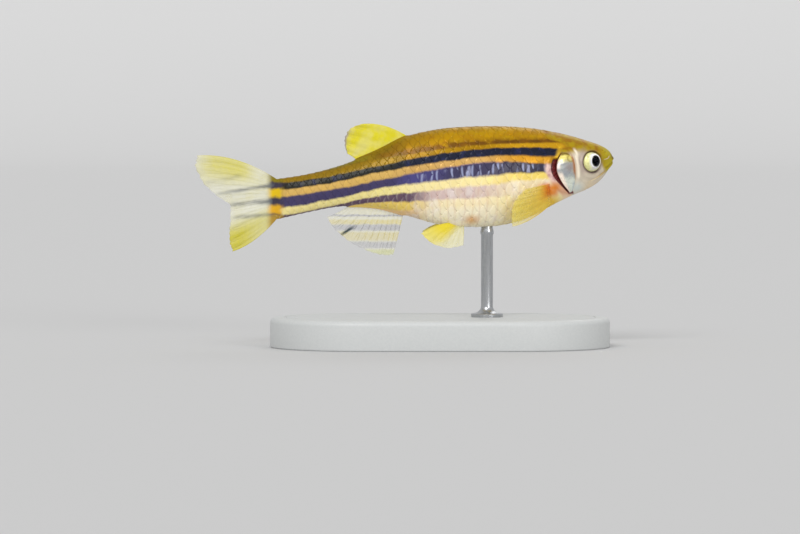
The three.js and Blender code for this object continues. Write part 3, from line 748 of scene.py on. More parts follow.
def mark_body(piece, body):
    """Stores where each vertex lies on the fish, which the markings are painted from."""
    mesh = piece.data
    x, side, z = body.straightened(points_of(mesh)).T
    back, belly, *_ = body.section(x)
    edges = [np.maximum(back, 0) + 0.05]
    edges += [smooth(STRIPE_X, row, np.clip(x, STRIPE_X[0], STRIPE_X[-1])) for row in STRIPE_EDGES]
    edges.append(belly - 0.05)
    band = np.full(len(x), float(BANDS - 1))
    for i in range(len(edges) - 1):
        top, low = edges[i], np.minimum(edges[i + 1], edges[i] - 1e-3)
        inside = (z <= top) & (z > low)
        band[inside] = (i + (top - z) / (top - low))[inside]
    band[z > edges[0]] = 0
    give(mesh, "along", x)
    give(mesh, "height", z)
    give(mesh, "band", band)
    give(mesh, "behind_gill", gill_edge(z) - x)
    give(mesh, "before_cheek", x - cheek_edge(z))
    give(mesh, "crown", z - smooth(CROWN_X, CROWN_EDGE, np.clip(x, CROWN_X[0], CROWN_X[-1])))
    give(mesh, "from_eye", body.eye_distance(x, side, z))
    give(mesh, "flat_side", np.abs(side))


def tail_root(s, height):
    """Yellow and orange patches between the ends of the dark stripes, where the tail fin starts."""
    level = s.wander(height, 0.5, 1.4, 2.0)
    paint = s.mix(s.between(level, 2.95, 3.85, 0.22), srgb(62, 56, 70), srgb(228, 190, 24))
    paint = s.over(paint, srgb(134, 118, 20), s.ease(level, 4.35, 4.6))
    paint = s.over(paint, srgb(224, 170, 34), s.between(level, 1.3, 2.15, 0.22))
    return s.mix(s.ease(level, 1.3, 1.1), paint, srgb(170, 136, 50))


def paint_body(s, colours, head):
    """Paints the markings that skin and scales share. Returns how metallic they are."""
    along, height = s.attributes("along", "height")
    fray = s.wander(0.0, 0.16, 4.0, 2.0)
    band = s.plus(s.wander(s.attribute("band"), 0.42, 0.8, 1.0, (1, 1, 0.5)), fray)
    place = s.math("DIVIDE", band, BANDS - 1)

    def stripes(soft, *shades_down):
        """A ramp with one colour for each band from the back down."""
        stops = []
        for i, shade in enumerate(shades_down):
            spread = 0.55 * soft if i in (3, 5, 7) else -0.55 * soft  # dark stripes keep their full width
            low = 0 if i == 0 else (i + soft - spread) / (BANDS - 1)
            high = 1 if i == len(shades_down) - 1 else (i + 1 - soft + spread) / (BANDS - 1)
            stops += [(low, shade), (high, shade)]
        return s.ramp(place, stops)

    dull = srgb(128, 112, 20)
    fore = stripes(
        0.15, colours.back, colours.brown, colours.thin_gold, colours.upper_stripe, srgb(198, 142, 34),
        srgb(56, 50, 62), srgb(240, 212, 110), srgb(240, 224, 186), srgb(248, 234, 184), srgb(244, 230, 182),
    )
    middle = stripes(
        0.14, colours.back, colours.brown, srgb(152, 114, 4), colours.upper_stripe, colours.gold,
        colours.middle_stripe, colours.cream, srgb(210, 186, 180), srgb(250, 232, 190), colours.belly,
    )
    rear = stripes(
        0.12, dull, srgb(104, 84, 14), srgb(140, 110, 12), srgb(36, 36, 30), srgb(208, 170, 94),
        srgb(68, 62, 98), srgb(240, 224, 150), colours.low_stripe, colours.yellow, srgb(240, 200, 144),
    )
    low = s.ease(band, 6.6, 7.0)
    turn = s.plus(along, s.all_of(low, -2.0))
    s.paint = s.mix(s.ease(turn, -5.4, -2.6), rear, middle)
    s.lay(fore, s.ease(along, 3.0, 7.5))

    # The back: orange-brown mottles, greener at the crest
    mottle = s.ease(s.noise(1.1, 4.0, (0.5, 1, 1)), 0.42, 0.66)
    on_back = s.ease(band, 2.1, 1.7)
    s.lay(srgb(160, 100, 4), mottle, on_back, s.ease(along, -9, -5), 0.35)
    rear_back = s.all_of(on_back, s.ease(along, 3, -4), 0.5)
    s.lay(srgb(128, 88, 0), rear_back)
    crest = s.ease(band, 0.5, 0.0)
    s.lay(srgb(148, 122, 8), crest, 0.4)
    # The brown line breaks up, and fades out at both ends
    whole = s.all_of(s.between(along, -6.6, 12.2, 0.9), s.ease(s.noise(0.8, 3.0), 0.22, 0.46), 0.92)
    line = s.all_of(s.between(band, 1, 2, 0.1), s.minus(1.0, whole))
    s.lay(s.mix(s.ease(along, -8, -3), dull, colours.back), line)
    # Blue sheen along the upper stripe
    sheen = s.all_of(s.between(band, 3, 4, 0.1), s.ease(s.noise(1.3, 3.0, (1, 1, 0.6)), 0.52, 0.72), 0.5)
    s.lay(srgb(44, 50, 96), sheen)
    # The middle stripe turns grey forward, with upright bluish-white glints
    slate = s.all_of(s.between(band, 5, 6, 0.1), s.ease(s.wander(along, 2.0, 0.6), -2.6, 1.6), 0.8)
    s.lay(srgb(58, 54, 74), slate)
    glint = s.ease(s.noise(1.0, 2.0, (1.9, 0.4, 0.5)), 0.54, 0.68)
    in_middle = s.all_of(s.between(band, 5.15, 6, 0.12), s.between(along, -2.2, 9.5, 1.2))
    s.lay(srgb(166, 170, 204), glint, in_middle, 0.65)
    # Fine pinkish lines slant down the belly
    slant = s.nodes.new("ShaderNodeTexWave")
    s.links.new(s.object_place((1, 0.0, 0.8)), slant.inputs["Vector"])
    slant.inputs["Scale"].default_value = 0.4
    slant.inputs["Distortion"].default_value = 9.0
    slant.inputs["Detail"].default_value = 2.0
    slant.inputs["Detail Scale"].default_value = 0.7
    rib = s.ease(slant.outputs["Fac"], 0.25, 0.0)
    rib = s.all_of(rib, s.ease(band, 6.6, 7.6), s.between(along, -3.2, 8.0, 1.0), 0.2)
    s.lay(srgb(196, 146, 126), rib)
    silver = s.ease(s.noise(0.7, 3.0, (1, 1, 0.6)), 0.5, 0.68)
    silver = s.all_of(silver, s.ease(band, 6.4, 7.4), s.ease(along, -6, -2), 0.5)
    s.lay(srgb(240, 232, 226), silver)
    # An orange spot low on the belly
    spot = s.all_of(s.near(along, 2.9, 1.1), s.near(height, 0.75, 0.75))
    s.lay(srgb(222, 146, 60), spot, 0.7)
    throat = s.all_of(s.between(along, 6.5, 10.5, 1.4), s.ease(height, 3.4, 1.8))
    s.lay(srgb(224, 194, 70), throat, 0.6)
    # Behind the gills the stripes end in violet-brown and pinkish white
    behind = s.attribute("behind_gill")
    end = s.all_of(s.ease(behind, 1.3, 0.85), s.ease(height, 6.5, 6.1))
    pink = s.mix(s.ease(s.noise(1.6, 2.0), 0.3, 0.7), srgb(190, 142, 146), srgb(242, 210, 196))
    pink = s.over(pink, srgb(220, 168, 134), s.ease(height, 4.9, 4.2))
    s.lay(s.mix(s.ease(height, 3.5, 2.9), pink, srgb(242, 214, 180)), end)
    # The breast is orange at the root of the pectoral fin, and yellow under it
    blotch = s.ease(s.noise(1.1, 3.0), 0.2, 0.6, 0.7, 1.0)
    breast = s.all_of(s.ease(along, 11.7, 10.9), s.ease(along, 8.8, 10.0), s.between(height, 3.0, 4.3, 0.4))
    s.lay(srgb(224, 132, 40), breast, blotch)
    under = s.all_of(s.near(along, 11.0, 1.5), s.near(height, 2.4, 1.1))
    s.lay(srgb(232, 190, 36), under)
    flash = s.all_of(s.near(behind, 0.2, 0.42), s.between(height, 6.6, 8.1, 0.2))
    s.lay(srgb(232, 186, 44), flash, 0.75)
    # Yellow patches where the tail fin starts
    s.lay(tail_root(s, height), s.ease(s.wander(along, 1.6, 1.2), -15.2, -16.2))
    # The head
    above = s.ease(height, 7.35, 7.65)
    on_head = s.all_of(s.ease(behind, 0.0, -0.25), s.minus(1.0, above))
    beside = s.math("ABSOLUTE", s.minus(band, 2.5))
    nape = s.plus(s.wander(along, 0.7, 1.0), s.all_of(beside, 0.9))
    on_head = s.plus(on_head, s.all_of(s.ease(nape, 11.6, 12.4), above))
    cloud = s.noise(1.5, 3.0)
    cheek = s.mix(s.ease(cloud, 0.35, 0.65), head.cheek, srgb(204, 192, 172))
    cheek = s.over(cheek, head.chin, s.ease(height, 5.0, 3.8))
    crown = s.mix(s.ease(s.noise(1.3, 4.0), 0.4, 0.68), head.crown, srgb(150, 104, 8))
    crown = s.over(crown, srgb(176, 158, 30), s.ease(along, 15.4, 16.6))
    skull = s.mix(s.ease(s.plus(s.attribute("crown"), fray), -0.4, 0.4), cheek, crown)
    before = s.attribute("before_cheek")
    lean = s.minus(before, s.ease(height, 6.4, 7.6, 0.0, 0.26))
    bright = s.all_of(s.near(lean, 0.38, 0.25), s.between(height, 4.9, 7.8, 0.25))
    bright = s.all_of(bright, s.ease(cloud, 0.2, 0.6, 0.7, 1.0))
    skull = s.over(skull, srgb(250, 238, 214), bright)
    low = s.all_of(s.near(along, 13.3, 1.4), s.near(height, 3.9, 1.1))
    skull = s.over(skull, srgb(212, 218, 212), low)
    seam = s.all_of(s.near(before, 0.02, 0.14), s.between(height, 4.9, 7.2, 0.3))
    skull = s.over(skull, srgb(176, 106, 34), seam, 0.8)
    eye = s.attribute("from_eye")
    # Grey-mauve behind the eye: painted shade in the hollow between the eye and the cheek ridge
    hollow_shade = s.all_of(s.between(eye, 0.9, 1.6, 0.3), s.ease(along, 14.4, 13.6), s.ease(height, 4.6, 5.6), 0.6)
    skull = s.over(skull, srgb(160, 140, 134), hollow_shade)
    # A dark ring round the eye, browner on top: painted shade in the crease where the eye sinks into its
    # socket
    eye_crease_shade = s.mix(s.ease(height, 6.6, 7.2), srgb(92, 74, 70), srgb(78, 58, 10))
    skull = s.over(skull, eye_crease_shade, s.near(eye, 1.05, 0.24), s.ease(along, 15.9, 15.0, 0.3, 1.0))
    tip = s.all_of(s.ease(along, 16.75, 17.25), s.between(height, 6.75, 7.35, 0.15))
    skull = s.over(skull, srgb(82, 64, 30), tip, 0.75)
    s.lay(skull, on_head)
    past = s.minus(behind, s.ease(height, 3.8, 5.2, 0.2, 0.44))
    slit = s.all_of(s.ease(past, 0.07, -0.07), s.ease(behind, -0.6, -0.4), s.between(height, 3.3, 6.75, 0.12))
    s.lay(head.gills, slit, s.ease(s.attribute("flat_side"), 0.2, 0.6))
    metal = s.math("ADD", s.between(band, 4, 5, 0.15), s.all_of(s.between(band, 2, 3, 0.15), 0.6), clamp=True)
    metal = s.plus(s.all_of(metal, 0.25), s.ease(band, 6.2, 2.6, 0.06, 0.3))
    return s.all_of(metal, s.ease(on_head, 0.0, 1.0, 1.0, 0.4), s.ease(along, -9, 2, 0.3, 1.0))


# The skin


def skin_rings(body):
    """Where the skin's rings lie, close together on the head."""
    snout = SNOUT_X - body.length * np.linspace(0.008, 0.15, 24) ** 2
    head = np.arange(snout[-1] - 0.062, 10.2, -0.062)
    rear = np.linspace(head[-1] - 0.12, body.tail_x - TAIL_FLARE, 122)
    return np.concatenate([snout, head, rear])


def skin_grid(body):
    """The skin's points before its relief."""
    x = skin_rings(body)[:, None]
    turn = 2 * np.pi * (np.arange(POINTS_AROUND) + 0.5)[None, :] / POINTS_AROUND
    points = body.around(x, turn)
    # Over the tail fin's root the skin thins out and its edge swells backwards
    points[..., 1] *= body.tail_share(points[..., 0])
    height = points[..., 2]
    top, bottom = height.max(1, keepdims=True), height.min(1, keepdims=True)
    middle, reach = (top + bottom) / 2, (top - bottom) / 2
    swell = 0.35 * step(points[..., 0], -15.4, -16.6)
    points[..., 0] -= swell * (1 - ((height - middle) / reach) ** 2)
    return points


def normals_of(points, closed=True):
    """Outward directions on a grid of points whose columns run round the body."""
    along = np.gradient(points, axis=0)
    if closed:
        around = np.roll(points, -1, axis=1) - np.roll(points, 1, axis=1)
    else:
        around = np.gradient(points, axis=1)
    normal = np.cross(around, along)
    return normal / np.maximum(np.linalg.norm(normal, axis=-1, keepdims=True), 1e-9)


def skin_relief(body, points, coat_depth):
    """How far each point of the skin stands out: lips, nostrils, lids, cheek, gill slit and folds."""
    x, side, z = np.moveaxis(points, -1, 0)
    near_side = np.abs(side)
    rise = -coat_depth * step(x, 12.2, 11.0)
    # Eye sockets with a soft lid round them
    gap = body.eye_distance(x, side, z)
    rise += 0.085 * bump(gap - 1.12, 0.13) - 0.5 * step(gap, 1.04, 0.84)
    rise += 0.03 * bump(gap - 1.55, 0.16) * step(z, 6.6, 5.8)
    # Nostrils: a pit with a raised rim, and a flap between the two
    for k, (at_x, at_z) in enumerate(NOSTRILS):
        spot = np.array([at_x, float(body.flank(at_x, at_z)), at_z])
        gap = np.linalg.norm(np.stack([x, near_side, z], -1) - spot, axis=-1)
        rise += 0.03 * bump(gap - 0.18, 0.06) - 0.15 * bump(gap, 0.1 - 0.02 * k)
    # Mouth: a groove between two lips
    run = np.array(MOUTH_TIP) - MOUTH_CORNER
    run /= np.linalg.norm(run)
    ahead = (x - MOUTH_CORNER[0]) * run[0] + (z - MOUTH_CORNER[1]) * run[1]
    across = (z - MOUTH_CORNER[1]) * run[0] - (x - MOUTH_CORNER[0]) * run[1]
    in_mouth = step(ahead, -0.12, 0.15)
    rise -= 0.15 * bump(across, 0.065) * in_mouth
    rise += 0.085 * (bump(across - 0.19, 0.11) + 0.7 * bump(across + 0.2, 0.12)) * in_mouth
    fold = (x - MOUTH_CORNER[0]) * 0.9 + (z - MOUTH_CORNER[1]) * -0.45
    rise -= 0.05 * bump(fold, 0.07) * step(z, 6.1, 5.8) * step(z, 4.9, 5.3) * step(near_side, 0.3, 0.6)
    # Ridge of bone down the cheek, and the furrow behind it
    before = x - cheek_edge(z)
    upright = step(z, 3.5, 4.3) * step(z, 7.9, 7.2)
    rise += (0.055 * bump(before - 0.42, 0.2) - 0.07 * bump(before - 0.06, 0.09)) * upright
    lower = x - (cheek_edge(z) + 1.3 * (4.7 - z))
    window = step(z, 4.75, 4.4) * step(z, 3.3, 3.7) * step(x, 12.6, 13.0)
    rise -= 0.045 * bump(lower - 0.55, 0.1) * window
    # Under the gill cover, and the slit behind it
    behind = gill_edge(z) - x
    tall = step(z, GILL_BOTTOM - 0.05, GILL_BOTTOM + 0.3) * step(z, GILL_TOP + 0.05, GILL_TOP - 0.3)
    under = step(before, -0.05, -0.35) * step(behind, 0.05, -0.1)
    rise -= 0.24 * under * tall
    slit = SLIT * slit_share(z)
    low = step(z, SLIT_TOP + 0.15, SLIT_TOP - 0.15)
    rise -= 0.4 * step(behind, -0.25, 0.05) * step(behind, slit + 0.12, slit - 0.1) * tall * low
    rise += 0.07 * bump(behind - 0.85, 0.2) * tall
    # Folds of the throat
    for k in range(3):
        line = behind + 0.55 + 0.42 * k
        rise -= 0.035 * bump(line, 0.07) * step(z, 3.5, 3.1) * step(near_side, 0.15, 0.5)
    # Fleshy roots of the paired fins
    rise += 0.13 * bump(x - 10.9 + 0.39 * (z - 2.9), 0.34) * bump(z - 3.5, 0.85)
    rise += 0.12 * bump(x - 1.5, 0.8) * bump(near_side - 0.95, 0.45) * step(z, 1.2, 0.8)
    # Low sheaths along the roots of the back fin and the anal fin
    narrow = bump(near_side, 0.3)
    rise += 0.16 * narrow * step(z, 5.5, 6.0) * step(x, -2.9, -3.5) * step(x, -8.8, -8.2)
    rise += 0.16 * narrow * step(z, 4.0, 3.5) * step(x, -3.2, -3.9) * step(x, -9.6, -9.0)
    return rise


class DANIO_OT_skin(bpy.types.Operator):
    """Builds the one skin of head, trunk and tail stalk"""

    bl_idname = "danio.skin"
    bl_label = "Skin"

    def execute(self, context):
        colours, head = context.scene.danio_body, context.scene.danio_head
        body = Body(colours)
        points = skin_grid(body)
        rise = skin_relief(body, points, colours.coat_depth / MM)
        settled = step(points[..., 0], SNOUT_X - 0.002, SNOUT_X - 0.12)
        points = points + normals_of(points) * (rise * settled)[..., None]
        rings = len(points)
        ends = [points[0].mean(0) + [0.004, 0, 0], points[-1].mean(0) - [0.02, 0, 0]]
        faces = grid_faces(rings, POINTS_AROUND, closed=True) + fan_ends(rings, POINTS_AROUND)
        places = np.vstack([body.bent(points).reshape(-1, 3), body.bent(ends)])
        piece = new_piece("skin", places, faces, skin_material(colours, head))
        self.unwrap(piece.data, rings)
        mark_body(piece, body)
        finish_piece(piece, "skin", "head", "lower_jaw", "torso", "tail_stalk")
        return {"FINISHED"}

    def unwrap(self, mesh, rings):
        """One flat map: rings from left to right, and once round the body from bottom to top."""
        vertex = corner_vertices(mesh)
        ring, turn = np.divmod(vertex, POINTS_AROUND)
        end = np.where(vertex % POINTS_AROUND == 0, 0, rings - 1)
        ring = np.where(vertex >= rings * POINTS_AROUND, end, ring)
        first = np.repeat([p.loop_start for p in mesh.polygons], [p.loop_total for p in mesh.polygons])
        turn = np.where(turn - turn[first] < -POINTS_AROUND / 2, turn + POINTS_AROUND, turn)
        turn = np.where(turn - turn[first] > POINTS_AROUND / 2, turn - POINTS_AROUND, turn)
        give_map(mesh, "OFBake", unwrap_place(ring / (rings - 1), (turn + 1) / (POINTS_AROUND + 2)))


def unwrap_place(along, around):
    """Where a place of the skin lies on its flat map."""
    margin = 0.02
    return np.stack([margin + (1 - 2 * margin) * along, margin + (1 - 2 * margin) * around], -1)


def skin_material(colours, head):
    s = Shades("danio skin", Coat_Weight=0.12, Coat_Roughness=0.12, Specular_IOR_Level=0.15)
    metal = paint_body(s, colours, head)
    s.to("Base Color", s.paint)
    s.to("Metallic", metal)
    s.to("Roughness", s.ease(s.noise(3, 3.0), 0.3, 0.7, 0.34, 0.5))
    s.relief(s.noise(9, 4.0), 0.02, 0.5)
    return s.material


# The scales


FLANK_TURNS = (-64, 244)  # degrees from the crest of the back, past both midlines
LEFT_SHIFT = 50  # how far apart the two flanks lie in the flat layout, in millimetres
LAYOUT_TO_UV = 0.01  # the wrapping wants the layout as a map about one wide
SCALE_AHEAD, SCALE_ASTERN = 0.62, 0.78  # a scale's reach from its middle, as shares of the spacing
SCALE_HALF = 1.16  # half its height, as a share of the row pitch
SCALE_THICKNESS = 0.4  # as a share of the coat's depth
SCALE_PATCH = 0.0015  # half the width of a scale's patch on the skin's flat map


class Flanks:
    """Both flanks laid out flat: along the body, and up from the widest line, in millimetres."""

    def __init__(self, body):
        self.body = body
        self.x = np.linspace(13.2, body.tail_x - 1.6, 112)
        self.turn = np.radians(np.linspace(*FLANK_TURNS, 100))
        self.points = body.around(self.x[:, None], self.turn[None, :])
        gaps = np.linalg.norm(np.diff(self.points, axis=1), axis=-1)
        arc = np.concatenate([np.zeros((len(self.x), 1)), np.cumsum(gaps, axis=1)], axis=1)
        self.up = np.array([np.interp(math.pi / 2, self.turn, row) for row in arc])[:, None] - arc
        self.to_back = np.array([np.interp(0, self.turn, row) for row in self.up])
        self.to_belly = np.array([-np.interp(math.pi, self.turn, row) for row in self.up])

    def sheet(self):
        """The surface that the flat layout is wrapped on."""
        thin = self.body.tail_share(self.points[..., 0])
        places, flats, ways, faces = [], [], [], []
        for hand in (-1, 1):
            points = self.points * [1, hand, 1]
            points[..., 1] *= thin
            way = normals_of(points, closed=False) * (1 if hand > 0 else -1)
            places.append(self.body.bent(points).reshape(-1, 3))
            tips = self.body.bent(points + way * 0.1).reshape(-1, 3)
            step_out = tips - places[-1]
            ways.append(step_out / np.linalg.norm(step_out, axis=1, keepdims=True))
            shift = LEFT_SHIFT if hand > 0 else 0
            along = np.broadcast_to(self.x[:, None] + shift, self.up.shape)
            flats.append(np.stack([along, self.up, np.zeros_like(self.up)], -1).reshape(-1, 3))
            faces += grid_faces(*self.up.shape, first=len(places[0]) * (len(places) - 1))
        sheet = new_piece("flank_sheet", np.vstack(places), faces)
        give(sheet.data, "flat", np.vstack(flats) * LAYOUT_TO_UV)
        give(sheet.data, "out", np.vstack(ways))
        return sheet

    def turn_at(self, x, up):
        """The turn round the body at a place of the layout."""
        i = int(np.clip(np.searchsorted(-self.x, -x), 0, len(self.x) - 1))
        return float(np.interp(-up, -self.up[i], self.turn))

    def height_at(self, x, up):
        return float(self.body.around(x, self.turn_at(x, up))[2])

    def reach(self, x):
        """Arc from the widest line to the back and to the belly at x."""
        return np.interp(-x, -self.x, self.to_back), np.interp(-x, -self.x, self.to_belly)


def layout_of(name, places, turns, sizes, random):
    """The points of the flat layout that plates are set on."""
    layout = new_piece(name, places, [])
    give(layout.data, "turn", turns)
    give(layout.data, "size", sizes)
    give(layout.data, "tint", random.random(len(places)))
    return layout


def wrapped(name, layout, plate, flanks, lift, material):
    """Sets the plate at each point of a layout, wraps them on the flanks, and clears up."""
    sheet = flanks.sheet()
    inputs = {"Plate": plate, "Flank_sheet": sheet, "Lift": lift, "Material": material}
    piece = grown(name, layout, coat_tree(), **inputs)
    bpy.data.objects.remove(plate)
    bpy.data.objects.remove(sheet)
    return piece


def scale_layout(flanks, spacing, pitch, random):
    """Where each scale's middle lies in the flat layout, with its turn and size."""
    most = float((flanks.to_back + flanks.to_belly).max())

    def shrink(x):
        back, belly = flanks.reach(x)
        return 0.58 + 0.42 * (back + belly) / most

    stations = [12.6]
    while stations[-1] > flanks.body.tail_x + 0.2:
        stations.append(stations[-1] - spacing * shrink(stations[-1]) / 2)
    laid = []
    rows = int(most / pitch) + 2
    for hand in (0, 1):
        for row in range(-rows, rows + 1):
            for k, x in enumerate(stations):
                if (k + row) % 2:
                    continue
                back, belly = flanks.reach(x)
                up = row * pitch * shrink(x)
                if not -belly + 0.3 * pitch < up < back - 0.3 * pitch:
                    continue
                slope = row * pitch * (shrink(x + 0.5) - shrink(x - 0.5))
                laid.append((x, up, hand, slope, shrink(x)))
    for k, x in enumerate(stations[::2]):
        back, belly = flanks.reach(x)
        if x > flanks.body.tail_x + 1.0:
            laid += [(x, back, 0, 0, shrink(x)), (x, -belly, 0, 0, shrink(x))]
    kept = []
    for x, up, hand, slope, small in laid:
        z = flanks.height_at(x, up)
        ahead = x + SCALE_AHEAD * spacing * small
        if z < GILL_TOP + 0.25 and ahead > gill_edge(z) - SLIT - 0.3:
            continue
        if z >= GILL_TOP + 0.25 and ahead > 12.05 + 0.5 * math.sin(3.1 * z):
            continue
        breast = 1 - 0.16 * float(step(x, 4, 10) * step(z, 4, 1.5))
        small *= breast * random.uniform(0.96, 1.04)
        lean = math.atan(slope) + random.uniform(-0.05, 0.05)
        kept.append((x, up + random.uniform(-0.02, 0.02), hand, lean, small))
    return kept


def scale_plate(name, ahead, astern, half, thick, lift):
    """One thin closed plate with a round rear edge, root sunk and tip raised."""
    t = np.array([0, 0.4, 0.72, 0.92, 1])[:, None]
    v = np.array([-1, -0.84, -0.3, 0.3, 0.84, 1])[None, :]
    rows, columns = t.size, v.size
    y = half * np.sqrt(1 - ((t - 0.45) / 0.62) ** 2) * v
    x = ahead - (ahead + astern) * t + 0.16 * half * v**2 * t**3
    top = (1.6 * t - 0.6) * lift - 0.5 * thick * (np.abs(v) > 0.99) - 0.5 * thick * (t > 0.99)
    top = np.broadcast_to(top, y.shape)
    upper = np.stack(np.broadcast_arrays(x, y, top), -1)
    lower = upper - [0, 0, thick]
    plate = new_piece(name, np.stack([upper, lower]).reshape(-1, 3), plate_faces(rows, columns))
    spots = np.stack(np.broadcast_arrays(2 * t - 1, v), -1).reshape(-1, 2)
    give(plate.data, "spot", np.vstack([np.c_[spots, np.zeros(len(spots))]] * 2))
    return plate


class DANIO_OT_scales(bpy.types.Operator):
    """Lays overlapping scales on the skin, from the gills to the tail fin"""

    bl_idname = "danio.scales"
    bl_label = "Scales"

    def execute(self, context):
        colours, head = context.scene.danio_body, context.scene.danio_head
        body = Body(colours)
        flanks = Flanks(body)
        random = np.random.default_rng(SEED)
        spacing, pitch = colours.scale_spacing / MM, colours.row_pitch / MM
        laid = scale_layout(flanks, spacing, pitch, random)
        places = [(x + LEFT_SHIFT * hand, up, 0) for x, up, hand, _, _ in laid]
        turns, sizes = [lean for *_, lean, _ in laid], [(small, small, 1) for *_, small in laid]
        layout = layout_of("scale_layout", places, turns, sizes, random)
        roots = []
        rings = skin_rings(body)
        for x, up, hand, *_ in laid:
            turn = flanks.turn_at(x, up) / (2 * math.pi)
            along = np.interp(-x, -rings, np.linspace(0, 1, len(rings)))
            roots.append((*unwrap_place(along, (turn if hand else 1 - turn) % 1), 0))
        give(layout.data, "root", roots)
        lift = colours.coat_depth / MM
        ahead, astern, half = SCALE_AHEAD * spacing, SCALE_ASTERN * spacing, SCALE_HALF * pitch
        plate = scale_plate("scale_plate", ahead, astern, half, SCALE_THICKNESS * lift, lift)
        piece = wrapped("scales", layout, plate, flanks, -0.02, scale_material(colours, head))
        vertex = corner_vertices(piece.data)
        spots, roots = read(piece.data, "spot"), read(piece.data, "root")
        give_map(piece.data, "OFBake", roots[vertex, :2] + SCALE_PATCH * spots[vertex, :2])
        give(piece.data, "astern", spots[:, 0])
        mark_body(piece, body)
        finish_piece(piece, "skin")
        return {"FINISHED"}


def scale_material(colours, head):
    s = Shades("danio scales", Coat_Weight=0.1, Coat_Roughness=0.12, Specular_IOR_Level=0.12)
    metal = paint_body(s, colours, head)
    tint, astern, band = s.attributes("tint", "astern", "band")
    # Each scale a little lighter or darker, with a darker rear rim on the back
    s.paint = s.mix(s.all_of(s.ease(tint, 0.35, 1.0), 0.1), s.paint, (1.0, 0.8, 0.3), "OVERLAY")
    s.paint = s.mix(s.all_of(s.ease(tint, 0.4, 0.0), 0.12), s.paint, (0.5, 0.42, 0.3), "MULTIPLY")
    rim = s.ease(astern, 0.55, 0.95)
    s.lay(srgb(112, 78, 10), rim, s.ease(band, 3.0, 2.4), 0.14)
    s.lay(srgb(250, 244, 226), rim, s.ease(band, 5.6, 6.6), 0.15)
    glint = s.all_of(s.ease(tint, 0.6, 0.66), s.near(astern, 0.6, 0.26), s.between(band, 5.1, 6.0, 0.2))
    s.lay(srgb(176, 184, 220), glint, s.between(s.attribute("along"), -2.4, 9.4, 1.2), 0.6)
    s.to("Base Color", s.paint)
    s.to("Metallic", s.math("ADD", metal, s.all_of(s.ease(tint, 0.5, 1.0), 0.04), clamp=True))
    s.to("Roughness", s.ease(tint, 0.0, 1.0, 0.5, 0.36))
    s.relief(s.noise(8, 2.0, (0.4, 1, 1)), 0.012, 0.5)
    return s.material


# Gill covers and gills


class DANIO_OT_gills(bpy.types.Operator):
    """Builds the two gill covers and the red filaments in the slits behind them"""

    bl_idname = "danio.gills"
    bl_label = "Gill covers and gills"

    def execute(self, context):
        head, body = context.scene.danio_head, Body(context.scene.danio_body)
        self.covers(body, head)
        self.filaments(body, head)
        return {"FINISHED"}

    def covers(self, body, head):
        rows, columns = 64, 40
        places, faces, marks = [], [], []
        z = np.linspace(GILL_TOP, GILL_BOTTOM, rows)[:, None]
        t = np.linspace(0, 1, columns)[None, :]
        width = (cheek_edge(z) - gill_edge(z)) * round_ends(z, 0.32)
        x = gill_edge(z) + (width + 0.12) * t
        lie = body.flank(x, z)
        ends = np.clip((GILL_TOP - z) / 0.35, 0, 1) * np.clip((z - GILL_BOTTOM) / 0.35, 0, 1)
        crown = 0.09 * np.sin(np.pi * t) + 0.1
        sink = 0.22 * step(t, 0.86, 1.0) + 0.1 * (1 - np.sqrt(ends))
        fan = 0.006 * np.sin(26 * np.arctan2(z - 6.9, x - 13.3)) * np.sin(np.pi * t)
        seam = 0.035 * bump(z - (4.62 - 0.28 * (x - 11.4)), 0.07) * step(t, 0.02, 0.15)
        edge = 0.03 * step(t, 0.05, 0.0)
        outer = lie + crown - sink + fan - seam - edge
        thick = 0.09 - 0.04 * step(t, 0.15, 0.0)
        for hand in (-1, 1):
            faces_out = [np.broadcast_arrays(x, hand * reach, z) for reach in (outer, outer - thick)]
            shell = [np.stack(face, -1) for face in faces_out]
            block = plate_faces(rows, columns)
            start = sum(len(p) for p in places)
            if hand > 0:
                block = [face[::-1] for face in block]
            faces += [[start + v for v in face] for face in block]
            places.append(body.bent(np.stack(shell)).reshape(-1, 3))
            marks.append(np.tile(np.broadcast_to(t, lie.shape).ravel(), 2))
        piece = new_piece("gill_covers", np.vstack(places), faces, cover_material(head))
        mark_body(piece, body)
        give(piece.data, "share", np.concatenate(marks))
        finish_piece(piece, "silver", "operculum_right", "operculum_left")

    def filaments(self, body, head):
        flanks = Flanks(body)
        random = np.random.default_rng(SEED)
        places, turns, sizes = [], [], []
        for hand in (0, 1):
            for z in np.arange(GILL_BOTTOM + 0.2, SLIT_TOP, FILAMENT_PITCH):
                x = float(gill_edge(z)) - 0.5 * SLIT * float(slit_share(z)) + 0.08
                i = int(np.searchsorted(-flanks.x, -x))
                flank = slice(22, 78)  # the turns of the layout that lie on one flank only
                up = float(np.interp(z, flanks.points[i, flank, 2][::-1], flanks.up[i, flank][::-1]))
                slope = float(gill_edge(z + 0.1) - gill_edge(z - 0.1)) / 0.2
                places.append((x + LEFT_SHIFT * hand, up, 0))
                turns.append(-math.atan(slope) * 0.8 + random.uniform(-0.08, 0.08))
                sizes.append((random.uniform(0.92, 1.08), 1, 1))
        layout = layout_of("gill_layout", places, turns, sizes, random)
        plate = scale_plate("gill_plate", 0.34, 0.3, 0.026, 0.07, 0.05)
        piece = wrapped("gill_filaments", layout, plate, flanks, -0.24, gill_material(head))
        finish_piece(piece, "gill", "gill_right", "gill_left")


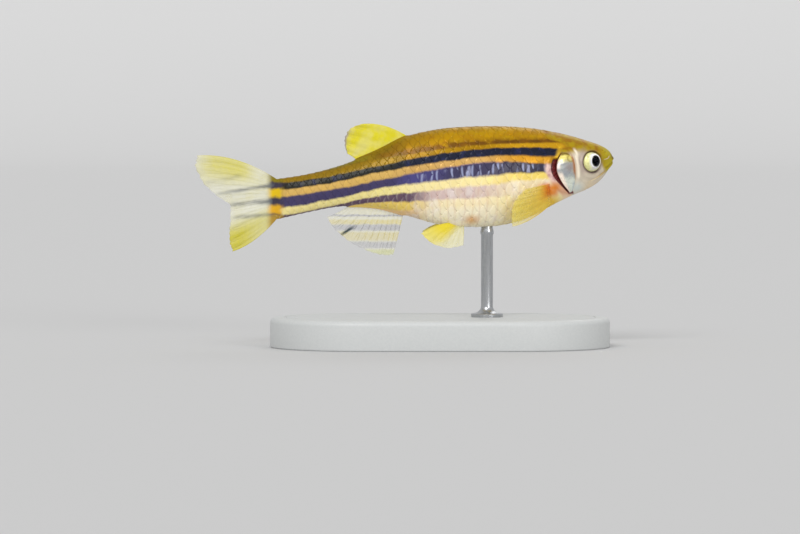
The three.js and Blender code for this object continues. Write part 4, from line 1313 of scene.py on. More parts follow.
def cover_material(head):
    s = Shades("gill cover", Coat_Weight=0.4, Coat_Roughness=0.12)
    along, height, share_ = s.attributes("along", "height", "share")
    cloud = s.noise(1.4, 4.0)
    haze = s.all_of(s.minus(cloud, 0.5), 0.7)
    s.paint = s.mix(s.ease(cloud, 0.3, 0.7), head.cover, srgb(160, 164, 168))
    low = s.ease(s.plus(height, haze), 5.3, 4.5)
    s.lay(srgb(226, 232, 216), low, 0.85)
    dusk = s.all_of(s.near(along, 12.3, 0.9), s.near(height, 6.0, 0.75), 0.8)
    s.lay(srgb(148, 132, 130), dusk)
    top = s.plus(height, s.all_of(haze, 0.6))
    s.lay(head.cover_gold, s.ease(top, 6.3, 6.95))
    aside, above = s.minus(along, 12.35), s.minus(height, 6.88)
    ring = s.near(s.plus(s.apart(aside, above), s.all_of(haze, 0.25)), 0.32, 0.15)
    s.lay(srgb(150, 122, 20), ring, s.ease(cloud, 0.35, 0.6, 0.35, 0.75))
    s.lay(srgb(132, 108, 22), s.ease(top, 7.15, 7.3))
    front = s.all_of(s.ease(share_, 0.78, 0.9), s.between(height, 5.3, 7.1, 0.3), 0.9)
    s.lay(srgb(176, 104, 40), front)
    blue = s.all_of(s.ease(share_, 0.6, 0.9), s.ease(height, 4.9, 4.3), 0.7)
    s.lay(srgb(176, 188, 196), blue)
    rim = s.all_of(s.ease(share_, 0.36, 0.2), s.ease(height, 5.7, 5.1))
    s.lay(srgb(255, 238, 220), rim)
    # A painted highlight near the cover's rear edge
    cover_highlight = s.all_of(s.near(share_, 0.1, 0.16), s.near(height, 6.05, 0.45))
    s.lay(srgb(255, 236, 226), cover_highlight)
    s.lay(srgb(120, 60, 40), s.ease(share_, 0.05, 0.015))
    s.to("Base Color", s.paint)
    s.to("Metallic", s.ease(cloud, 0.3, 0.7, 0.1, 0.3))
    s.to("Roughness", s.ease(s.noise(2.4), 0.3, 0.7, 0.24, 0.4))
    s.relief(s.noise(5, 3.0), 0.02, 0.6)
    return s.material


def gill_material(head):
    s = Shades("gill filaments", Coat_Weight=0.6, Coat_Roughness=0.15)
    tint = s.attribute("tint")
    streaky = s.ease(s.plus(tint, s.noise(3)), 0.6, 1.4)
    s.to("Base Color", s.mix(streaky, head.gills, srgb(140, 44, 44)))
    s.to("Roughness", s.ease(tint, 0, 1, 0.3, 0.5))
    s.relief(s.noise(12, 2.0), 0.01, 0.6)
    return s.material


# The eyes


PUPIL_SHIFT = (0.16, 0.12)  # how far the pupil looks ahead and up
EYE_POINTS_AROUND = 72
LENS_POINTS_AROUND = 48


def pupil_share(r, pupil):
    """How much of the pupil's shift a ring of the iris takes."""
    return step(r, 0.95, pupil.max())


class DANIO_OT_eyes(bpy.types.Operator):
    """Builds each eye: eyeball with its iris, dark lens and clear cornea"""

    bl_idname = "danio.eyes"
    bl_label = "Eyes"

    def execute(self, context):
        head, body = context.scene.danio_head, Body(context.scene.danio_body)
        radius, deep = head.eye_diameter / MM / 2, head.eye_depth / MM / 2
        pupil = np.array([head.pupil_width, head.pupil_height]) / MM / 2
        materials = iris_material(head), lens_material(), cornea_material()
        for hand, name in ((-1, "right"), (1, "left")):
            self.eye(body, hand, name, radius, deep, pupil, materials)
        return {"FINISHED"}

    def turned(self, name, body, hand, profile, material, columns=EYE_POINTS_AROUND):
        """A round piece about the eye's axis, from (radius along the head, radius up, height)."""
        out = body.outward(EYE_X, hand, EYE_Z)
        ahead = np.array([1.0, 0, 0]) - out[0] * out
        ahead /= np.linalg.norm(ahead)
        up = np.cross(out, ahead) * -hand
        centre = body.eye_middle(hand) - EYE_SINK * out
        turn = once_round(columns)
        level, upright = np.outer(np.cos(turn), ahead), np.outer(np.sin(turn), up)
        rings = []
        for wide, tall, h, *moved in profile:
            aside = (moved[0] if moved else 0) * (ahead * PUPIL_SHIFT[0] + up * PUPIL_SHIFT[1])
            rings.append(centre + aside + level * wide + upright * tall + out * h)
        ends = [rings[0].mean(0), rings[-1].mean(0)]
        rings = rings[1:-1]
        faces = grid_faces(len(rings), columns, closed=True) + fan_ends(len(rings), columns)
        return new_piece(name, body.bent(np.vstack([*rings, *ends])), faces, material)

    def eye(self, body, hand, name, radius, deep, pupil, materials):
        def dome(r, proud=0.0):
            return (deep + proud) * math.sqrt(max(0.0, 1 - (r / (radius + proud)) ** 2))

        back = [(r, r, -dome(r)) for r in radius * np.sin(np.linspace(0, math.pi / 2, 14))]
        front = []
        for t in np.linspace(0, 1, 26)[1:]:
            r = radius * math.cos(t * math.pi / 2)
            if r < pupil.min() * 1.05:
                break
            dip = 0.045 * float(step(r, 0.9 * radius, 0.78 * radius))
            dip -= 0.03 * float(bump(r - pupil.max() - 0.1, 0.07))
            squeeze = float(step(r, 0.8, pupil.max()))
            wide, tall = r + squeeze * (pupil - pupil.mean())
            front.append((wide, tall, dome(r) - dip, pupil_share(r, pupil)))
        edge = front[-1][2]
        well = [(*pupil, edge - 0.02, 1), (*pupil, edge - 0.2, 1), (0, 0, edge - 0.25, 1)]
        ball = self.turned(f"eyeball_{name}", body, hand, back + front + well, materials[0])
        self.mark_eye(ball, body, hand, pupil)
        finish_piece(ball, "eye", f"eye_{name}")
        top = dome(0) - 0.015
        lens = []
        for t in np.linspace(0, 2.4, 20):
            wide, tall = pupil * 1.04 * math.sin(t)
            lens.append((wide, tall, top - 0.3 + 0.3 * math.cos(t), 1))
        lens.append((0, 0, lens[-1][2] - 0.05, 1))
        lens = self.turned(f"eye_lens_{name}", body, hand, lens, materials[1], LENS_POINTS_AROUND)
        finish_piece(lens, "eye")
        spread = [radius * math.sin(t) for t in np.linspace(0, 1.2, 22)]
        outer = [(r, r, dome(r, 0.035) + 0.005) for r in spread]
        inner = [(wide * 0.985, tall * 0.985, h - 0.022) for wide, tall, h in outer[::-1]]
        cornea = self.turned(f"cornea_{name}", body, hand, outer + inner, materials[2])
        finish_piece(cornea, "eye")

    def mark_eye(self, piece, body, hand, pupil):
        """How far each vertex lies from the pupil's edge, and which way round it is."""
        points = body.straightened(points_of(piece.data))
        out = body.outward(EYE_X, hand, EYE_Z)
        away = points - body.eye_middle(hand)
        flat = away - np.outer(away @ out, out)
        ahead = flat @ (np.array([1.0, 0, 0]) - out[0] * out) / math.sqrt(1 - out[0] ** 2)
        place = np.stack([ahead, flat[:, 2]], -1)
        moved = pupil_share(np.hypot(*place.T), pupil)
        gap = np.hypot(*((place - moved[:, None] * PUPIL_SHIFT) / pupil).T)
        give(piece.data, "from_pupil", gap * pupil.mean())
        give(piece.data, "forward", ahead)
        give(piece.data, "upward", flat[:, 2])
        give(piece.data, "round", np.arctan2(flat[:, 2], ahead))


def iris_material(head):
    s = Shades("iris", Roughness=0.35, Specular_IOR_Level=0.3)
    gap, turn = s.attributes("from_pupil", "round")
    forward, upward = s.attributes("forward", "upward")
    fray = s.plus(turn, s.all_of(s.noise(2.5, 3.0), 1.4))
    fibre = s.math("SINE", s.all_of(fray, 34.0))
    blur = s.wander(gap, 0.16, 3.0)
    s.paint = s.mix(s.ease(blur, 0.62, 0.86), head.iris, head.iris_rim)
    s.lay(srgb(196, 196, 150), s.ease(fibre, 0.2, 1.0), 0.16)
    front = s.all_of(s.ease(forward, 0.35, 0.8), s.ease(upward, 0.5, -0.1))
    s.lay(srgb(236, 214, 204), front, 0.6)
    s.lay(srgb(120, 112, 70), s.ease(gap, 0.56, 0.5))
    s.lay(srgb(8, 8, 12), s.ease(gap, 0.52, 0.47))
    s.lay(srgb(110, 100, 50), s.ease(s.apart(forward, upward), 0.94, 0.985))
    s.to("Base Color", s.paint)
    s.to("Metallic", s.ease(blur, 0.5, 0.9, 0.1, 0.02))
    s.relief(s.plus(fibre, s.noise(6, 2.0)), 0.012, 0.5)
    return s.material


def lens_material():
    s = Shades("eye lens", Roughness=0.5, Specular_IOR_Level=0.02)
    s.to("Base Color", s.mix(s.ease(s.noise(2.0), 0.3, 0.7), srgb(2, 2, 6), srgb(5, 6, 14)))
    return s.material


def cornea_material():
    s = Shades("cornea", Roughness=0.02, IOR=1.12, Transmission_Weight=1.0)
    s.to("Base Color", s.mix(s.noise(1.5), (1, 1, 1), (0.97, 0.98, 0.97)))
    s.relief(s.noise(3.0, 1.0), 0.002, 0.3)
    return s.material


# Barbels


class DANIO_OT_barbels(bpy.types.Operator):
    """Builds the two short barbels at the upper lip and the two longer ones at the mouth"""

    bl_idname = "danio.barbels"
    bl_label = "Barbels"

    # Root and tip seen from the side, and how thick it is for its kind
    KINDS = (((16.78, 7.14), (15.85, 6.75), 0.75), ((16.3, 5.62), (14.3, 4.5), 1.0))

    def execute(self, context):
        head, body = context.scene.danio_head, Body(context.scene.danio_body)
        steps = 26
        t = np.linspace(0, 1, steps)
        places, edges, thick = [], [], []
        for root, tip, share_ in self.KINDS:
            for hand in (-1, 1):
                x, z = (root[i] + (tip[i] - root[i]) * t for i in (0, 1))
                z = z - 0.1 * np.sin(np.pi * t)
                off = -0.1 + 0.36 * step(t, 0.0, 0.45) + 0.12 * t
                start = len(places) * steps
                places.append(body.bent(np.stack([x, hand * (body.flank(x, z) + off), z], -1)))
                edges += [(start + i, start + i + 1) for i in range(steps - 1)]
                blunt = np.sqrt(np.clip((1.02 - t) / 0.06, 0, 1))
                thick += list(head.barbel_radius * share_ * (1 - 0.7 * t**1.5) * blunt)
        wire = new_piece("barbel_wire", np.vstack(places), [], edges=edges)
        give(wire.data, "thick", thick)
        give(wire.data, "reach", np.tile(t, len(places)))
        piece = grown("barbels", wire, sweep_tree(), Sides=12, Material=barbel_material())
        nodes = [f"barbel_{kind}_{hand}" for kind in ("lip", "mouth") for hand in ("right", "left")]
        finish_piece(piece, "skin", *nodes)
        return {"FINISHED"}


def barbel_material():
    s = Shades("barbel", Coat_Weight=0.5, Coat_Roughness=0.15)
    reach = s.attribute("reach")
    s.paint = s.mix(s.ease(reach, 0.0, 0.8), srgb(176, 146, 70), srgb(214, 196, 158))
    s.lay(srgb(150, 114, 50), s.ease(s.noise(5), 0.45, 0.7), 0.4)
    s.to("Base Color", s.paint)
    s.to("Roughness", s.ease(s.noise(4), 0.3, 0.7, 0.35, 0.5))
    s.relief(s.noise(14, 2.0), 0.012, 0.5)
    return s.material


# Fins


FIN_ROOT = 0.06  # how far a membrane starts inside the body, as a share of a ray's length
FIN_TAPER = 0.72  # how much thinner a fin is at its edge than at its root
PLEAT = 0.035  # how far a membrane swings from ray to ray
FORK = 0.36  # where a ray first forks
SECOND_FORK = 0.66


class Fin:
    """A fin between a base curve and a tip curve, both read from the first ray to the last."""

    def __init__(self, body, base, tips, rays, bow, sway=None):
        self.body, self.base, self.tips, self.rays = body, base, tips, rays
        self.bow = bow if callable(bow) else lambda a: bow[0] * (1 - a) ** 2 + bow[1] * a**2
        self.sway = sway or (lambda a, r: 0)

    def place(self, a, r):
        """A point of the straight fin, at a share from ray to ray and a share of their length."""
        a, r = np.broadcast_arrays(np.asarray(a, float), np.asarray(r, float))
        base, tip = self.base(a), through(self.tips, a)
        point = base + (tip - base) * r[..., None]
        point[..., 2] += 4 * r * (1 - r) * self.bow(a)
        point[..., 1] += self.sway(a, r)
        return point

    def edge(self, a):
        """How far out the membrane reaches between the rays."""
        phase = np.cos(2 * np.pi * a * (self.rays - 1))
        return 1.0 - 0.007 * (1 - phase) - 0.008 * np.sin(37 * a + 1) * np.sin(11 * a)

    def membrane(self, name, thickness, material, rows=44, each=6):
        """A thin closed sheet, thickest at the root and pleated a little from ray to ray."""
        a = np.linspace(0, 1, (self.rays - 1) * each + 1)[None, :]
        t = np.linspace(0, 1, rows)[:, None]
        r = -FIN_ROOT + (self.edge(a) + FIN_ROOT) * t
        middle = self.place(a, r)
        way = np.cross(np.gradient(middle, axis=0), np.gradient(middle, axis=1))
        way /= np.maximum(np.linalg.norm(way, axis=-1, keepdims=True), 1e-9)
        out = np.clip(r, 0, 1)
        pleat = PLEAT * np.sin(2 * np.pi * a * (self.rays - 1) / 2) * out
        middle = middle + way * pleat[..., None]
        thick = (thickness * (1 - FIN_TAPER * out) * (0.15 + 0.85 * step(t, 1.0, 0.96)))[..., None]
        sides = [middle + way * thick / 2, middle - way * thick / 2]
        places = self.body.bent(np.stack(sides)).reshape(-1, 3)
        piece = new_piece(name, places, plate_faces(rows, a.shape[1]), material)
        both = [np.tile(np.broadcast_to(v, r.shape).ravel(), 2) for v in (a, out)]
        self.mark(piece, *both)
        return piece

    def mark(self, piece, across, reach):
        """Stores what the fin's markings are painted from, unless it is there."""
        along, _, height = self.body.straightened(points_of(piece.data)).T
        marks = {"across": across, "reach": reach, "along": along, "height": height}
        for name, values in marks.items():
            if name not in piece.data.attributes:
                give(piece.data, name, values)

    def strands(self, radius):
        """Each ray's trunk, branches and twigs as (share across, share out, thickness)."""
        space = 1 / (self.rays - 1)
        for i in range(self.rays):
            centre = i * space
            first, second = FORK + 0.1 * ((i * 7) % 3) / 2, SECOND_FORK + 0.08 * ((i * 5) % 4) / 3
            outermost = i in (0, self.rays - 1)
            forks = (0,) if outermost else (-1, 1)
            size = radius * (1.15 if outermost else 1.0)

            def across(r, fork, twig):
                spread = 0.2 * step(r, first, 1.25) * fork
                spread = spread + 0.1 * step(r, second, 1.15) * twig
                return np.clip(centre + 1.9 * space * spread, 0, 1)

            def thick(r, share_):
                ring = 1 - 0.06 * (np.sin(r * 95) > 0.8)
                return size * share_ * (1 - FIN_TAPER * r) * ring

            trunk = np.linspace(-0.08, first + 0.02, 20)
            yield across(trunk, 0, 0), trunk, thick(np.clip(trunk, 0, 1), 1)
            for fork in forks:
                limb = np.linspace(first, second + 0.02, 15)
                yield across(limb, fork, 0), limb, thick(limb, 1 if outermost else 0.86)
                for twig in (0,) if outermost else (-1, 1):
                    end = np.linspace(second, 1.0, 15)
                    taper = np.sqrt(np.clip((1.02 - end) / 0.1, 0.05, 1))
                    yield across(end, fork, twig), end, thick(end, 0.74 if twig else 1) * taper

    def rays_piece(self, name, radius, material, sides=6):
        """The branched rays, swept from their lines."""
        places, edges, thick, across, reach = [], [], [], [], []
        for a, r, size in self.strands(radius):
            start = sum(len(p) for p in places)
            places.append(self.body.bent(self.place(a, r * 0.975)))
            edges += [(start + k, start + k + 1) for k in range(len(a) - 1)]
            thick += list(size * MM)
            across += list(a)
            reach += list(np.clip(r, 0, 1))
        wire = new_piece(f"{name}_wire", np.vstack(places), [], edges=edges)
        give(wire.data, "thick", thick)
        give(wire.data, "across", across)
        give(wire.data, "reach", reach)
        piece = grown(name, wire, sweep_tree(), Sides=sides, Material=material)
        self.mark(piece, None, None)
        return piece


def line_of(x0, x1, height):
    """A base curve along the body's midline between two places."""

    def base(a):
        x = x0 + (x1 - x0) * a
        return np.stack([x, np.zeros_like(x), height(x)], -1)

    return base


# Tips of the fins' rays, from the first ray to the last
DORSAL_TIPS = (
    (-7.9, 0.1, 10.28), (-8.95, 0.15, 9.85), (-9.48, 0.2, 9.05), (-9.52, 0.2, 8.2), (-9.3, 0.15, 7.35),
)
ANAL_TIPS = (
    (-4.7, -0.15, -2.75), (-5.8, -0.2, -2.78), (-7.5, -0.25, -2.25), (-9.15, -0.25, -1.35),
    (-10.6, -0.2, -0.1), (-11.3, -0.1, 1.0),
)
CAUDAL_TIPS = (
    (-24.55, 0.5, 7.15), (-24.7, 0.5, 6.05), (-24.05, 0.4, 4.6), (-22.6, 0.3, 3.2), (-21.1, 0.2, 2.15),
    (-21.0, 0, 1.75), (-20.97, -0.2, 0.7), (-20.97, -0.4, -0.4), (-20.9, -0.6, -1.6), (-20.6, -0.7, -2.45),
)
PELVIC_NEAR_TIPS = ((2.1, -1.55, -1.8), (0.5, -1.9, -2.05), (-1.1, -2.1, -1.5), (-2.05, -2.1, -0.6))
PELVIC_FAR_TIPS = ((0.35, 1.5, -1.6), (-0.55, 1.75, -1.4), (-1.3, 1.8, -1.0), (-1.65, 1.7, -0.45))
PECTORAL_TIPS = ((6.5, 3.3, 0.1), (6.35, 3.6, 1.15), (6.45, 3.85, 2.25), (6.9, 3.95, 3.1), (7.7, 3.85, 3.85))


def dorsal_fin(body):
    base = line_of(-3.4, -8.35, lambda x: body.section(x)[0] + 0.05)
    return Fin(body, base, DORSAL_TIPS, 9, (0.42, 0.05))


def anal_fin(body):
    base = line_of(-3.75, -9.15, lambda x: body.section(x)[1] - 0.05)
    return Fin(body, base, ANAL_TIPS, 14, (-0.1, -0.1), lambda a, r: 0.15 * np.sin(np.pi * a) * r)


def caudal_fin(body):
    def base(a):
        bulge = 0.4 * (1 - (2 * a - 1) ** 2)
        return np.stack([body.tail_x - 0.1 - bulge, np.zeros_like(a), 4.75 - 3.9 * a], -1)

    def bow(a):
        upper = np.clip(1 - 2 * a, 0, 1)
        lower = np.clip(2 * a - 1, 0, 1)
        return 0.68 * upper**2 - 0.5 * lower**2 + 0.04

    return Fin(body, base, CAUDAL_TIPS, 21, bow)


def pelvic_fin(body, hand):
    def base(a):
        x, out = 2.25 - 1.55 * a, hand * (0.75 + 0.4 * a)
        return np.stack([x, out, body.underside(x, out) - 0.08], -1)

    return Fin(body, base, PELVIC_NEAR_TIPS if hand < 0 else PELVIC_FAR_TIPS, 8, (0, 0.22))


def pectoral_fin(body, hand):
    def base(a):
        x, z = 11.0 - 0.62 * a, 2.7 + 1.6 * a
        return np.stack([x, hand * (body.flank(x, z) + 0.16), z], -1)

    def sway(a, r):
        return -hand * 0.34 * step(r, 0.16, -0.06)

    tips = [(x, hand * out, z) for x, out, z in PECTORAL_TIPS]
    return Fin(body, base, tips, 12, (-0.42, 0), sway)


class DANIO_OT_fins(bpy.types.Operator):
    """Builds every fin: a thin clear membrane over branched rays"""

    bl_idname = "danio.fins"
    bl_label = "Fins"

    def execute(self, context):
        fins, body = context.scene.danio_fins, Body(context.scene.danio_body)
        kinds = (
            ("dorsal", dorsal_fin(body), ("dorsal_fin",), paint_dorsal),
            ("anal", anal_fin(body), ("anal_fin",), paint_anal),
            ("caudal", caudal_fin(body), ("caudal_fin_upper", "caudal_fin_lower"), paint_caudal),
            ("pelvic_right", pelvic_fin(body, -1), ("pelvic_fin_right",), paint_pelvic),
            ("pelvic_left", pelvic_fin(body, 1), ("pelvic_fin_left",), paint_pelvic),
            ("pectoral_right", pectoral_fin(body, -1), ("pectoral_fin_right",), paint_pectoral),
            ("pectoral_left", pectoral_fin(body, 1), ("pectoral_fin_left",), paint_pectoral),
        )
        made = {}
        for name, fin, nodes, paint in kinds:
            if paint not in made:
                made[paint] = fin_materials(paint.__name__.replace("paint_", ""), paint, fins)
            film, bone = made[paint]
            finish_piece(fin.membrane(f"{name}_membrane", fins.membrane / MM, film), "fin", *nodes)
            finish_piece(fin.rays_piece(f"{name}_rays", fins.ray_radius / MM, bone), "fin")
        return {"FINISHED"}


def fin_materials(name, paint, fins):
    """A see-through membrane and its firmer rays. paint() returns how solid the fin looks."""
    film = Shades(f"{name} membrane", Roughness=0.4, Specular_IOR_Level=0.25)
    solid = paint(film, fins)
    film.to("Base Color", film.paint)
    film.to("Alpha", film.all_of(solid, film.ease(film.noise(2.2, 3.0), 0.2, 0.8, 0.86, 1.0)))
    film.relief(film.noise(6, 3.0, (0.5, 1, 1)), 0.015, 0.5)
    bone = Shades(f"{name} rays", Specular_IOR_Level=0.25)
    solid = paint(bone, fins)
    joint = bone.math("SINE", bone.all_of(bone.attribute("reach"), 170.0))
    dim = bone.all_of(bone.ease(joint, 0.8, 1.0), bone.ease(bone.attribute("reach"), 0.15, 0.3), 0.18)
    bone.lay(srgb(120, 104, 70), dim)
    bone.to("Base Color", bone.paint)
    firm = bone.ease(bone.attribute("reach"), 1.0, 0.0, 0.08, 0.24)
    bone.to("Alpha", bone.math("ADD", bone.all_of(solid, 0.7), firm, clamp=True))
    bone.to("Roughness", bone.ease(bone.noise(3), 0.3, 0.7, 0.3, 0.45))
    return film.material, bone.material


def streak(s, x0, z0, x1, z1, width):
    """A soft straight streak between two places seen from the side."""
    along, height = s.attributes("along", "height")
    slope = (z1 - z0) / (x1 - x0)
    level = s.plus(s.all_of(s.minus(along, x0), slope), z0)
    off = s.wander(s.minus(height, level), 0.25, 1.2, 2.0)
    return s.all_of(s.near(off, 0.0, width), s.between(along, min(x0, x1), max(x0, x1), 0.5))


def paint_dorsal(s, fins):
    reach, across = s.attributes("reach", "across")
    s.paint = s.mix(s.ease(s.noise(0.8, 3.0), 0.4, 0.65), fins.dorsal, srgb(228, 218, 96))
    s.lay(srgb(222, 214, 130), s.near(reach, 0.4, 0.3), s.ease(across, 0.35, 0.8), 0.75)
    s.lay(srgb(140, 128, 140), s.ease(reach, 0.9, 0.98), s.ease(across, 0.2, 0.5), 0.8)
    return s.ease(reach, 1.0, 0.6, 0.7, 0.9)


def paint_anal(s, fins):
    height, reach = s.attributes("height", "reach")
    level = s.wander(height, 0.3, 0.9, 2.0)
    s.paint = s.mix(s.between(level, 0.3, 0.75, 0.1), fins.clear, srgb(230, 218, 150))
    s.lay(fins.grey, s.near(level, 1.15, 0.18), 0.8)
    s.lay(fins.grey, s.between(level, -0.35, 0.28, 0.12), 0.75)
    s.lay(srgb(226, 214, 150), s.between(level, -1.32, -0.5, 0.12))
    s.lay(fins.grey, s.between(level, -2.1, -1.42, 0.12), 0.7)
    s.lay(srgb(214, 216, 140), s.ease(level, -2.1, -2.35))
    dots = streak(s, -9.9, -0.75, -8.6, 0.05, 0.3)
    s.lay(srgb(28, 52, 62), dots)
    return s.math("ADD", s.ease(reach, 0.0, 1.0, 0.42, 0.3), s.all_of(dots, 0.6), clamp=True)


def paint_caudal(s, fins):
    along, height, reach, across = s.attributes("along", "height", "reach", "across")
    s.paint = s.mix(s.all_of(s.ease(s.noise(0.6, 3.0), 0.4, 0.7), 0.5), fins.clear, srgb(230, 224, 164))
    upper = s.all_of(s.ease(across, 0.32, 0.1), s.ease(along, -17.4, -20.4), s.ease(along, -25.5, -22.5))
    lower = s.all_of(s.ease(across, 0.6, 0.86), s.ease(along, -16.6, -20.2, 0.45, 1.0))
    s.lay(srgb(224, 214, 60), upper, 0.85)
    s.lay(srgb(208, 198, 28), lower)
    root = s.ease(along, -17.5, -16.7)
    s.lay(tail_root(s, height), root)
    dark = s.plus(streak(s, -16.6, 4.2, -22.4, 3.3, 0.34), streak(s, -16.6, 2.6, -21.2, 2.2, 0.44))
    dark = s.plus(dark, streak(s, -16.8, 1.25, -20.6, 0.95, 0.36))
    dark = s.math("ADD", dark, s.all_of(streak(s, -20.0, 5.1, -23.6, 4.4, 0.4), 0.45), clamp=True)
    patchy = s.ease(s.noise(0.5, 2.0), 0.3, 0.65, 0.45, 0.85)
    dark = s.all_of(dark, patchy, s.ease(reach, 1.0, 0.1, 0.6, 1.0))
    s.lay(srgb(96, 100, 106), dark)
    solid = s.plus(s.ease(reach, 0.0, 1.0, 0.5, 0.34), s.all_of(dark, 0.3))
    solid = s.plus(solid, s.all_of(s.plus(s.all_of(upper, 0.5), lower), 0.34))
    return s.math("ADD", solid, s.all_of(root, 0.5), clamp=True)


def paint_pelvic(s, fins):
    reach, across = s.attributes("reach", "across")
    s.paint = s.mix(s.ease(reach, 0.3, 1.0), srgb(240, 220, 50), srgb(238, 226, 120))
    s.lay(srgb(238, 234, 190), s.ease(across, 0.65, 0.25), 0.85)
    return s.plus(s.ease(reach, 0.2, 1.0, 0.46, 0.34), s.ease(across, 0.4, 0.8, 0.0, 0.36))


def paint_pectoral(s, fins):
    reach, across = s.attributes("reach", "across")
    s.paint = s.mix(s.ease(reach, 0.2, 1.0), srgb(246, 212, 76), srgb(246, 228, 104))
    warm = s.all_of(s.ease(s.wander(reach, 0.2, 0.8), 0.42, 0.08), s.ease(across, 0.2, 0.55))
    s.lay(srgb(236, 140, 36), warm)
    return s.all_of(s.ease(reach, 0.0, 0.7, 0.66, 0.36), s.ease(reach, 0.0, 0.24))


# The display stand


BASE_POINTS_AROUND = 160
ROD_POINTS_AROUND = 48


class DANIO_OT_stand(bpy.types.Operator):
    """Builds the flat oval base and the steel rod that holds the fish"""

    bl_idname = "danio.stand"
    bl_label = "Display stand"

    def execute(self, context):
        stand, body = context.scene.danio_stand, Body(context.scene.danio_body)
        self.plate(stand)
        self.post(stand, body)
        return {"FINISHED"}

    def plate(self, stand):
        half, deep, tall, curve = (
            v / MM for v in (stand.base_length / 2, stand.base_width / 2, stand.base_height, stand.base_round)
        )
        turn = once_round(BASE_POINTS_AROUND)
        middle = (half - deep) * np.sign(np.cos(turn)) * step(np.abs(np.cos(turn)), 0, 1e-9)
        way = np.stack([np.cos(turn), np.sin(turn)], -1)
        profile = [(0.6 * deep, 0.0), (curve * 0.6, 0.0)]
        for t in np.linspace(0.3, 1.57, 4):
            profile.append((curve * 0.3 * (1 - math.sin(t)), curve * 0.3 * (1 - math.cos(t))))
        for t in np.linspace(0, 1.57, 9):
            profile.append((curve * (1 - math.cos(t)), tall - curve * (1 - math.sin(t))))
        for out, drop in ((-0.12, 0), (-0.06, 0.09), (0.06, 0.09), (0.12, 0)):
            profile.append((1.5 + out, tall - drop))
        profile.append((0.6 * deep, tall))
        rings = []
        for inset, height in profile:
            flat = np.stack([middle, np.zeros_like(middle)], -1) + way * (deep - inset)
            rings.append(np.c_[flat, np.full(len(turn), height)])
        points = np.stack(rings)
        size = len(rings), len(turn)
        faces = grid_faces(*size, closed=True) + flat_ends(*size)
        piece = new_piece("stand_plate", points.reshape(-1, 3) * MM, faces, plate_material(stand))
        piece.data.set_sharp_from_angle(angle=math.radians(38))
        finish_piece(piece, "stand_base", "stand_base")

    def post(self, stand, body):
        foot = stand.base_height / MM
        rod, flange = stand.rod_radius / MM, stand.flange_radius / MM
        top = body.belly_height + float(body.section(body.rod_x)[1]) + 0.12
        rim = foot + 0.38
        profile = [(flange - 0.02, foot - 0.02), (flange, foot + 0.05)]
        profile += [(flange, foot + 0.3), (flange - 0.08, rim)]
        for t in np.linspace(0, 1.57, 8):
            profile.append((rod + (flange - rod - 0.1) * (1 - math.sin(t)), rim + 0.7 * (1 - math.cos(t))))
        profile += [(rod, foot + 1.6), (rod, top - 0.9)]
        profile += [(rod * 1.12, top - 0.8), (rod * 1.12, top - 0.55), (rod * 0.9, top)]
        points = lathe(profile, ROD_POINTS_AROUND)
        points[..., 0] += body.rod_x
        size = len(profile), ROD_POINTS_AROUND
        faces = grid_faces(*size, closed=True) + flat_ends(*size)
        piece = new_piece("stand_post", points.reshape(-1, 3) * MM, faces, post_material(stand))
        piece.data.set_sharp_from_angle(angle=math.radians(40))
        finish_piece(piece, "stand_rod", "stand_rod")


def plate_material(stand):
    s = Shades("satin base", Specular_IOR_Level=0.45)
    speck = s.ease(s.noise(5, 3.0), 0.3, 0.7)
    s.to("Base Color", s.mix(s.all_of(speck, 0.25), stand.base_colour, srgb(182, 185, 186)))
    s.to("Roughness", s.ease(s.noise(1.2, 4.0), 0.3, 0.7, 0.42, 0.55))
    s.relief(s.noise(9, 3.0), 0.012, 0.4)
    return s.material


def post_material(stand):
    s = Shades("brushed steel", Metallic=1.0)
    grain = s.noise(3.0, 4.0, (6, 6, 0.3))
    s.to("Base Color", s.mix(s.ease(grain, 0.3, 0.7), stand.rod_colour, srgb(168, 170, 173)))
    s.to("Roughness", s.ease(grain, 0.3, 0.7, 0.24, 0.4))
    s.relief(grain, 0.004, 0.5)
    return s.material


# The studio


COVE_POINTS_AROUND = 96


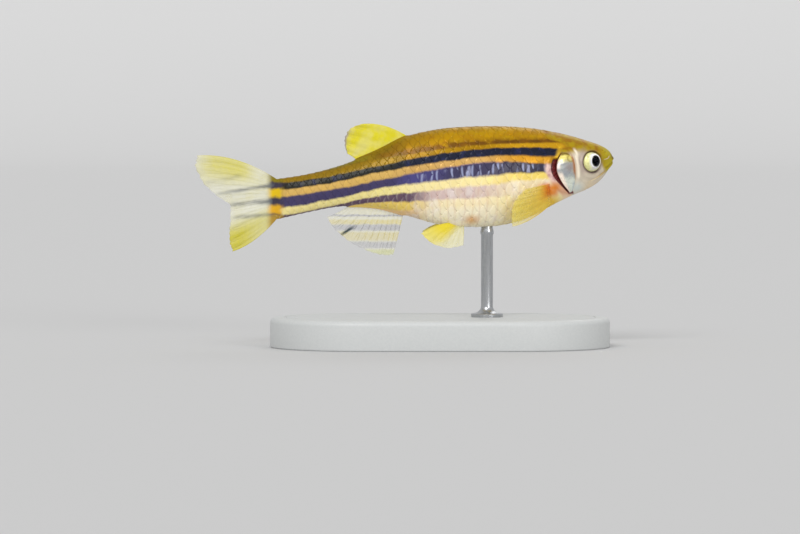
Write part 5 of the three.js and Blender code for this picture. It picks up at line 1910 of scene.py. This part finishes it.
class DANIO_OT_stage(bpy.types.Operator):
    """Builds the round pale studio, its soft lamps and the camera"""

    bl_idname = "danio.stage"
    bl_label = "Studio and camera"

    AIM = (-4.0, 0.0, 8.0)  # middle of the picture, in millimetres
    ELEVATION = 1.8  # of the camera, in degrees

    def execute(self, context):
        stage = context.scene.danio_stage
        self.cove(stage)
        self.lamp("key_lamp", (-0.35, -1, 0.85), 26, stage.key)
        self.lamp("fill_lamp", (0.6, -1, 0.25), 16, stage.fill)
        self.lamp("back_lamp", (0.3, 1, 0.9), 30, stage.back)
        world = bpy.data.worlds.new("soft sky")
        world.use_nodes = True
        sky = world.node_tree.nodes["Background"]
        sky.inputs["Color"].default_value = (1, 1, 1, 1)
        sky.inputs["Strength"].default_value = stage.sky
        context.scene.world = world
        context.scene.view_settings.view_transform = "Standard"
        self.camera(context, stage)
        return {"FINISHED"}

    def cove(self, stage):
        """A flat floor that curves up all round, and stays below the lamps."""
        radius = stage.cove_radius
        bend = radius * 0.3
        profile = [((radius - bend) * inner, 0.0) for inner in (0.6, 0.8, 0.9, 1.0)]
        for t in np.linspace(0.06, 0.93, 16):
            profile.append((radius - bend + bend * math.sin(t), bend * (1 - math.cos(t))))
        rings = lathe(profile, COVE_POINTS_AROUND)
        size = len(profile), COVE_POINTS_AROUND
        faces = grid_faces(*size, closed=True) + flat_ends(*size)[:1]
        floor = new_piece("studio_cove", rings.reshape(-1, 3), faces)
        up = sum(p.normal.z for p in floor.data.polygons)
        if up < 0:
            floor.data.flip_normals()
        s = Shades("studio paper", Roughness=0.9)
        s.to("Base Color", stage.paper)
        floor.data.materials.append(s.material)

    def lamp(self, name, away, softness, strength):
        """A far, soft lamp, by the way towards it and how many degrees wide it looks."""
        light = bpy.data.lights.new(name, "SUN")
        light.angle = math.radians(softness)
        light.energy = strength
        holder = placed(name, light)
        holder.rotation_euler = Vector(away).to_track_quat("Z", "Y").to_euler()

    def camera(self, context, stage):
        lens = bpy.data.cameras.new("camera")
        lens.lens = stage.lens
        lens.sensor_width = 36
        lens.clip_start = 0.01
        holder = placed("camera", lens)
        high = math.radians(self.ELEVATION)
        away = Vector((0, -math.cos(high), math.sin(high)))
        holder.location = Vector(self.AIM) * MM + away * stage.camera_distance
        holder.rotation_euler = away.to_track_quat("Z", "Y").to_euler()
        context.scene.camera = holder


# Panel, registration and the run

PROPERTIES = {
    "danio_body": DanioBody,
    "danio_head": DanioHead,
    "danio_fins": DanioFins,
    "danio_stand": DanioStand,
    "danio_stage": DanioStage,
}
OPERATORS = (
    DANIO_OT_skin,
    DANIO_OT_scales,
    DANIO_OT_gills,
    DANIO_OT_eyes,
    DANIO_OT_barbels,
    DANIO_OT_fins,
    DANIO_OT_stand,
    DANIO_OT_stage,
)


class DANIO_PT_panel(bpy.types.Panel):
    """Sizes, colours and the build steps of the danio"""

    bl_label = "Zebra Danio"
    bl_idname = "DANIO_PT_panel"
    bl_space_type = "VIEW_3D"
    bl_region_type = "UI"
    bl_category = "Danio"

    def draw(self, context):
        for operator in OPERATORS:
            self.layout.operator(operator.bl_idname)
        for group in PROPERTIES:
            box = self.layout.box()
            for name in PROPERTIES[group].__annotations__:
                box.prop(getattr(context.scene, group), name)


CLASSES = (*PROPERTIES.values(), *OPERATORS, DANIO_PT_panel)


def register():
    for made in CLASSES:
        bpy.utils.register_class(made)
    for name, group in PROPERTIES.items():
        setattr(bpy.types.Scene, name, bpy.props.PointerProperty(type=group))


def unregister():
    for name in PROPERTIES:
        delattr(bpy.types.Scene, name)
    for made in reversed(CLASSES):
        bpy.utils.unregister_class(made)


def main():
    register()
    for operator in OPERATORS:
        group, name = operator.bl_idname.split(".")
        getattr(getattr(bpy.ops, group), name)()


if __name__ == "__main__":
    main()
